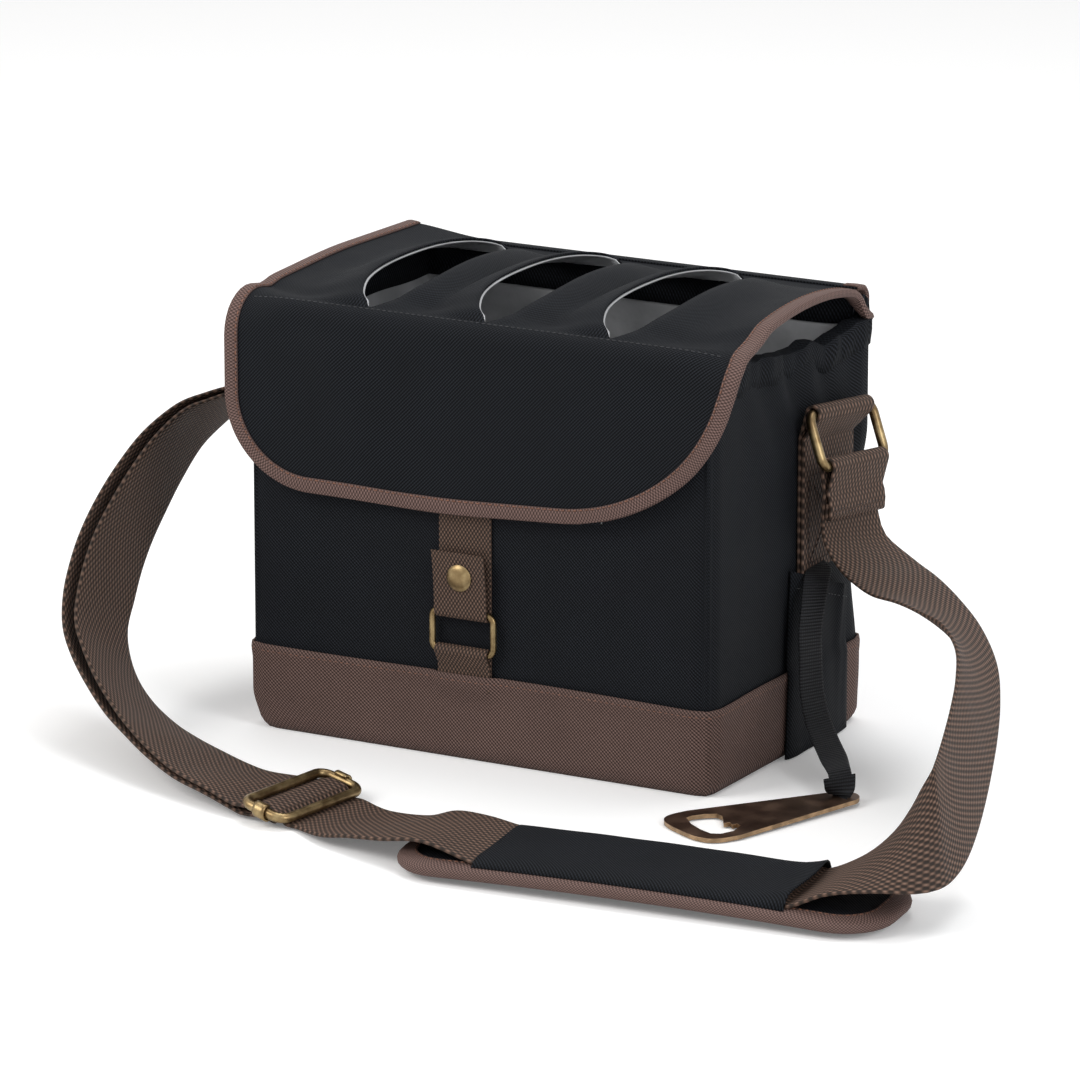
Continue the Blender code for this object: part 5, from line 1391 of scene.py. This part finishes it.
for facing, side_name in ((-1, "left"), (1, "right")):

    def tape_end_place(i, j):
        s = STRIP_LENGTH * i / STRIP_ROWS
        inward, up = END_TAPE[j]
        return strip_spot(facing * (STRIP_HALF - inward), s) + strip_out(s) * up

    tape_end = settle(
        cloth_grid(STRIP_ROWS, len(END_TAPE) - 1, tape_end_place, lambda i, j: (j * 0.0024, i * 0.0018)),
        "hinge_binding_" + side_name, binding_look, None, (), wall=0.0007,
    )
    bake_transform(tape_end)
line = [
    (strip_spot(-0.112 + 0.0056 * k, 0.004) + Vector((0, 0.0006, 0)), Vector((0, 1, 0))) for k in range(41)
]
stitches("hinge_stitches", line, dark_thread, "bag")


# Front closure: brown webbing, 27 mm wide here and 25 mm in the CAD, from under the flap's hem.
# It is folded up round the ring's top bar into a tab that is snapped to it, and a keeper loop
# holds the ring's lower bar.

CLOSURE_WIDTH, CLOSURE_WEB, FRONT_WIRE = 0.0270, 0.0012, 0.003
# Colours: painted shade in the weave's dips, the webbing's own brown, and a painted highlight on its crowns.
closure_look = woven(
    "closure_webbing", (0.015, 0.009, 0.006), (0.060, 0.034, 0.023), (0.27, 0.165, 0.12), (0.0009, 0.0013),
    0.0004
)
bar_y = -0.0773
bar_low, bar_high = (bar_y, 0.0515), (bar_y, 0.0700)
front_loop = FRONT_WIRE / 2 + GAP + CLOSURE_WEB / 2
web_y = bar_y + front_loop
keeper_y = web_y - 0.0015
x_way = Vector((1, 0, 0))


def closure_stops(path):
    """Stops in the plane square to the bag's width."""
    return [(Vector((CLOSURE_X, y, z)), x_way) for y, z in path]


def closure_piece(stops, name, body, node):
    settle(strap_shape(stops, CLOSURE_WIDTH, CLOSURE_WEB), name, closure_look, body, (node,))


leave = tangent_angle(bar_low, front_loop, (keeper_y, 0.036), -1)
keeper_path = [(web_y, 0.034), (web_y, 0.040), (web_y, 0.046)] + arc(bar_low, front_loop, 0, leave % 360, 14)
keeper_path += [(keeper_y, 0.0455), (keeper_y, 0.040), (keeper_y, 0.034)]
closure_piece(closure_stops(keeper_path), "keeper_webbing", "bag", "keeper_loop")
front_half = CLOSURE_WIDTH / 2 + 0.0007 + FRONT_WIRE / 2
wire_loop(
    "front_ring_wire", Vector((CLOSURE_X, bar_y, 0.06075)), x_way, Vector((0, 0, 1)), front_half, 0.00925,
    0.0035, FRONT_WIRE,
    "front_ring", "front_ring",
)
strap_path = [(web_y, z / 1000) for z in range(140, 71, -4)] + arc(bar_high, front_loop, 0, -150, 12)
closure_piece(closure_stops(strap_path), "closure_webbing", "lid_front", "closure_strap")
tab_y = bar_y - front_loop
tab_stops = [(Vector((CLOSURE_X, y, z)), x_way) for y, z in arc(bar_high, front_loop, -120, -180, 5)]
for k in range(1, 11):
    tab_stops.append(
        (Vector((CLOSURE_X - 0.0014 * (k / 10) ** 2, tab_y - 0.00002 * k, 0.0715 + 0.00265 * k)), x_way)
    )
closure_piece(tab_stops, "snap_tab_webbing", "snap_tab", "snap_tab")
cap_line = [
    (0, 0.0021), (0.0025, 0.0020), (0.0043, 0.0016), (0.0056, 0.0010), (0.0062, 0.0004), (0.0060, 0.0),
    (0.0052, 0.0), (0, 0.0)
]
cap = bmesh.new()
corners = [cap.verts.new((r, 0, h)) for r, h in cap_line]
edges = [cap.edges.new(pair) for pair in zip(corners, corners[1:])]
bmesh.ops.spin(
    cap, geom=corners + edges, cent=(0, 0, 0), axis=(0, 0, 1), angle=math.tau, steps=32, use_merge=True
)
bmesh.ops.remove_doubles(cap, verts=cap.verts, dist=WELD)
bmesh.ops.recalc_face_normals(cap, faces=cap.faces)
turn = Vector((0, 0, 1)).rotation_difference(Vector((0, -1, 0))).to_matrix().to_4x4()
bmesh.ops.transform(
    cap, matrix=Matrix.Translation((CLOSURE_X, tab_y - 0.0009, 0.0868)) @ turn, verts=cap.verts
)
settle(cap, "snap_dome", brass.material, "snap_tab", ("snap_cap",))
for name in ("snap_socket", "snap_stud"):
    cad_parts[name].data.materials.clear()
    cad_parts[name].data.materials.append(brass.material)


# Side pocket: a black cloth panel sewn over the band at the foot of the right gusset, a little
# slack at its hemmed mouth.

POCKET_CELLS = 24


def pocket_place(i, j):
    v = i / POCKET_CELLS * 2 - 1
    share = j / POCKET_CELLS
    z = 0.0006 + (0.0770 - 0.0095 * v) * share
    full = 1 - abs(v) ** 6
    back = 0.1166 + 0.0014 * (1 - eased((z - 0.038) / 0.006))
    slack = 0.0008 + 0.0024 * share**1.5 + 0.0005 * math.sin(v * 5 + share * 4)
    folds = hump(v, 0.60, 0.09) + 0.8 * hump(v, 0.85, 0.06)
    slack += 0.0013 * share * folds + 0.0006 * hump(v, -0.97, 0.04)
    return Vector((back + (slack + 0.0006) * full + 0.0005, 0.025 + 0.030 * v + 0.003 * share * (1 - v), z))


settle(
    cloth_grid(POCKET_CELLS, POCKET_CELLS, pocket_place, lambda i, j: (i * 0.0026, j * 0.003)),
    "pocket_cloth", black_cloth, "bag", ("side_pocket",), wall=0.0010,
)
line = [(pocket_place(i, 22) + Vector((0.0006, 0, 0)), Vector((1, 0, 0))) for i in range(1, 24)]
pocket_thread = plain("pocket_thread", (0.03, 0.031, 0.035), 0.3, 0.6, scale=400)
stitches("pocket_stitches", line, pocket_thread, "bag", 0.0030, 0.00025)
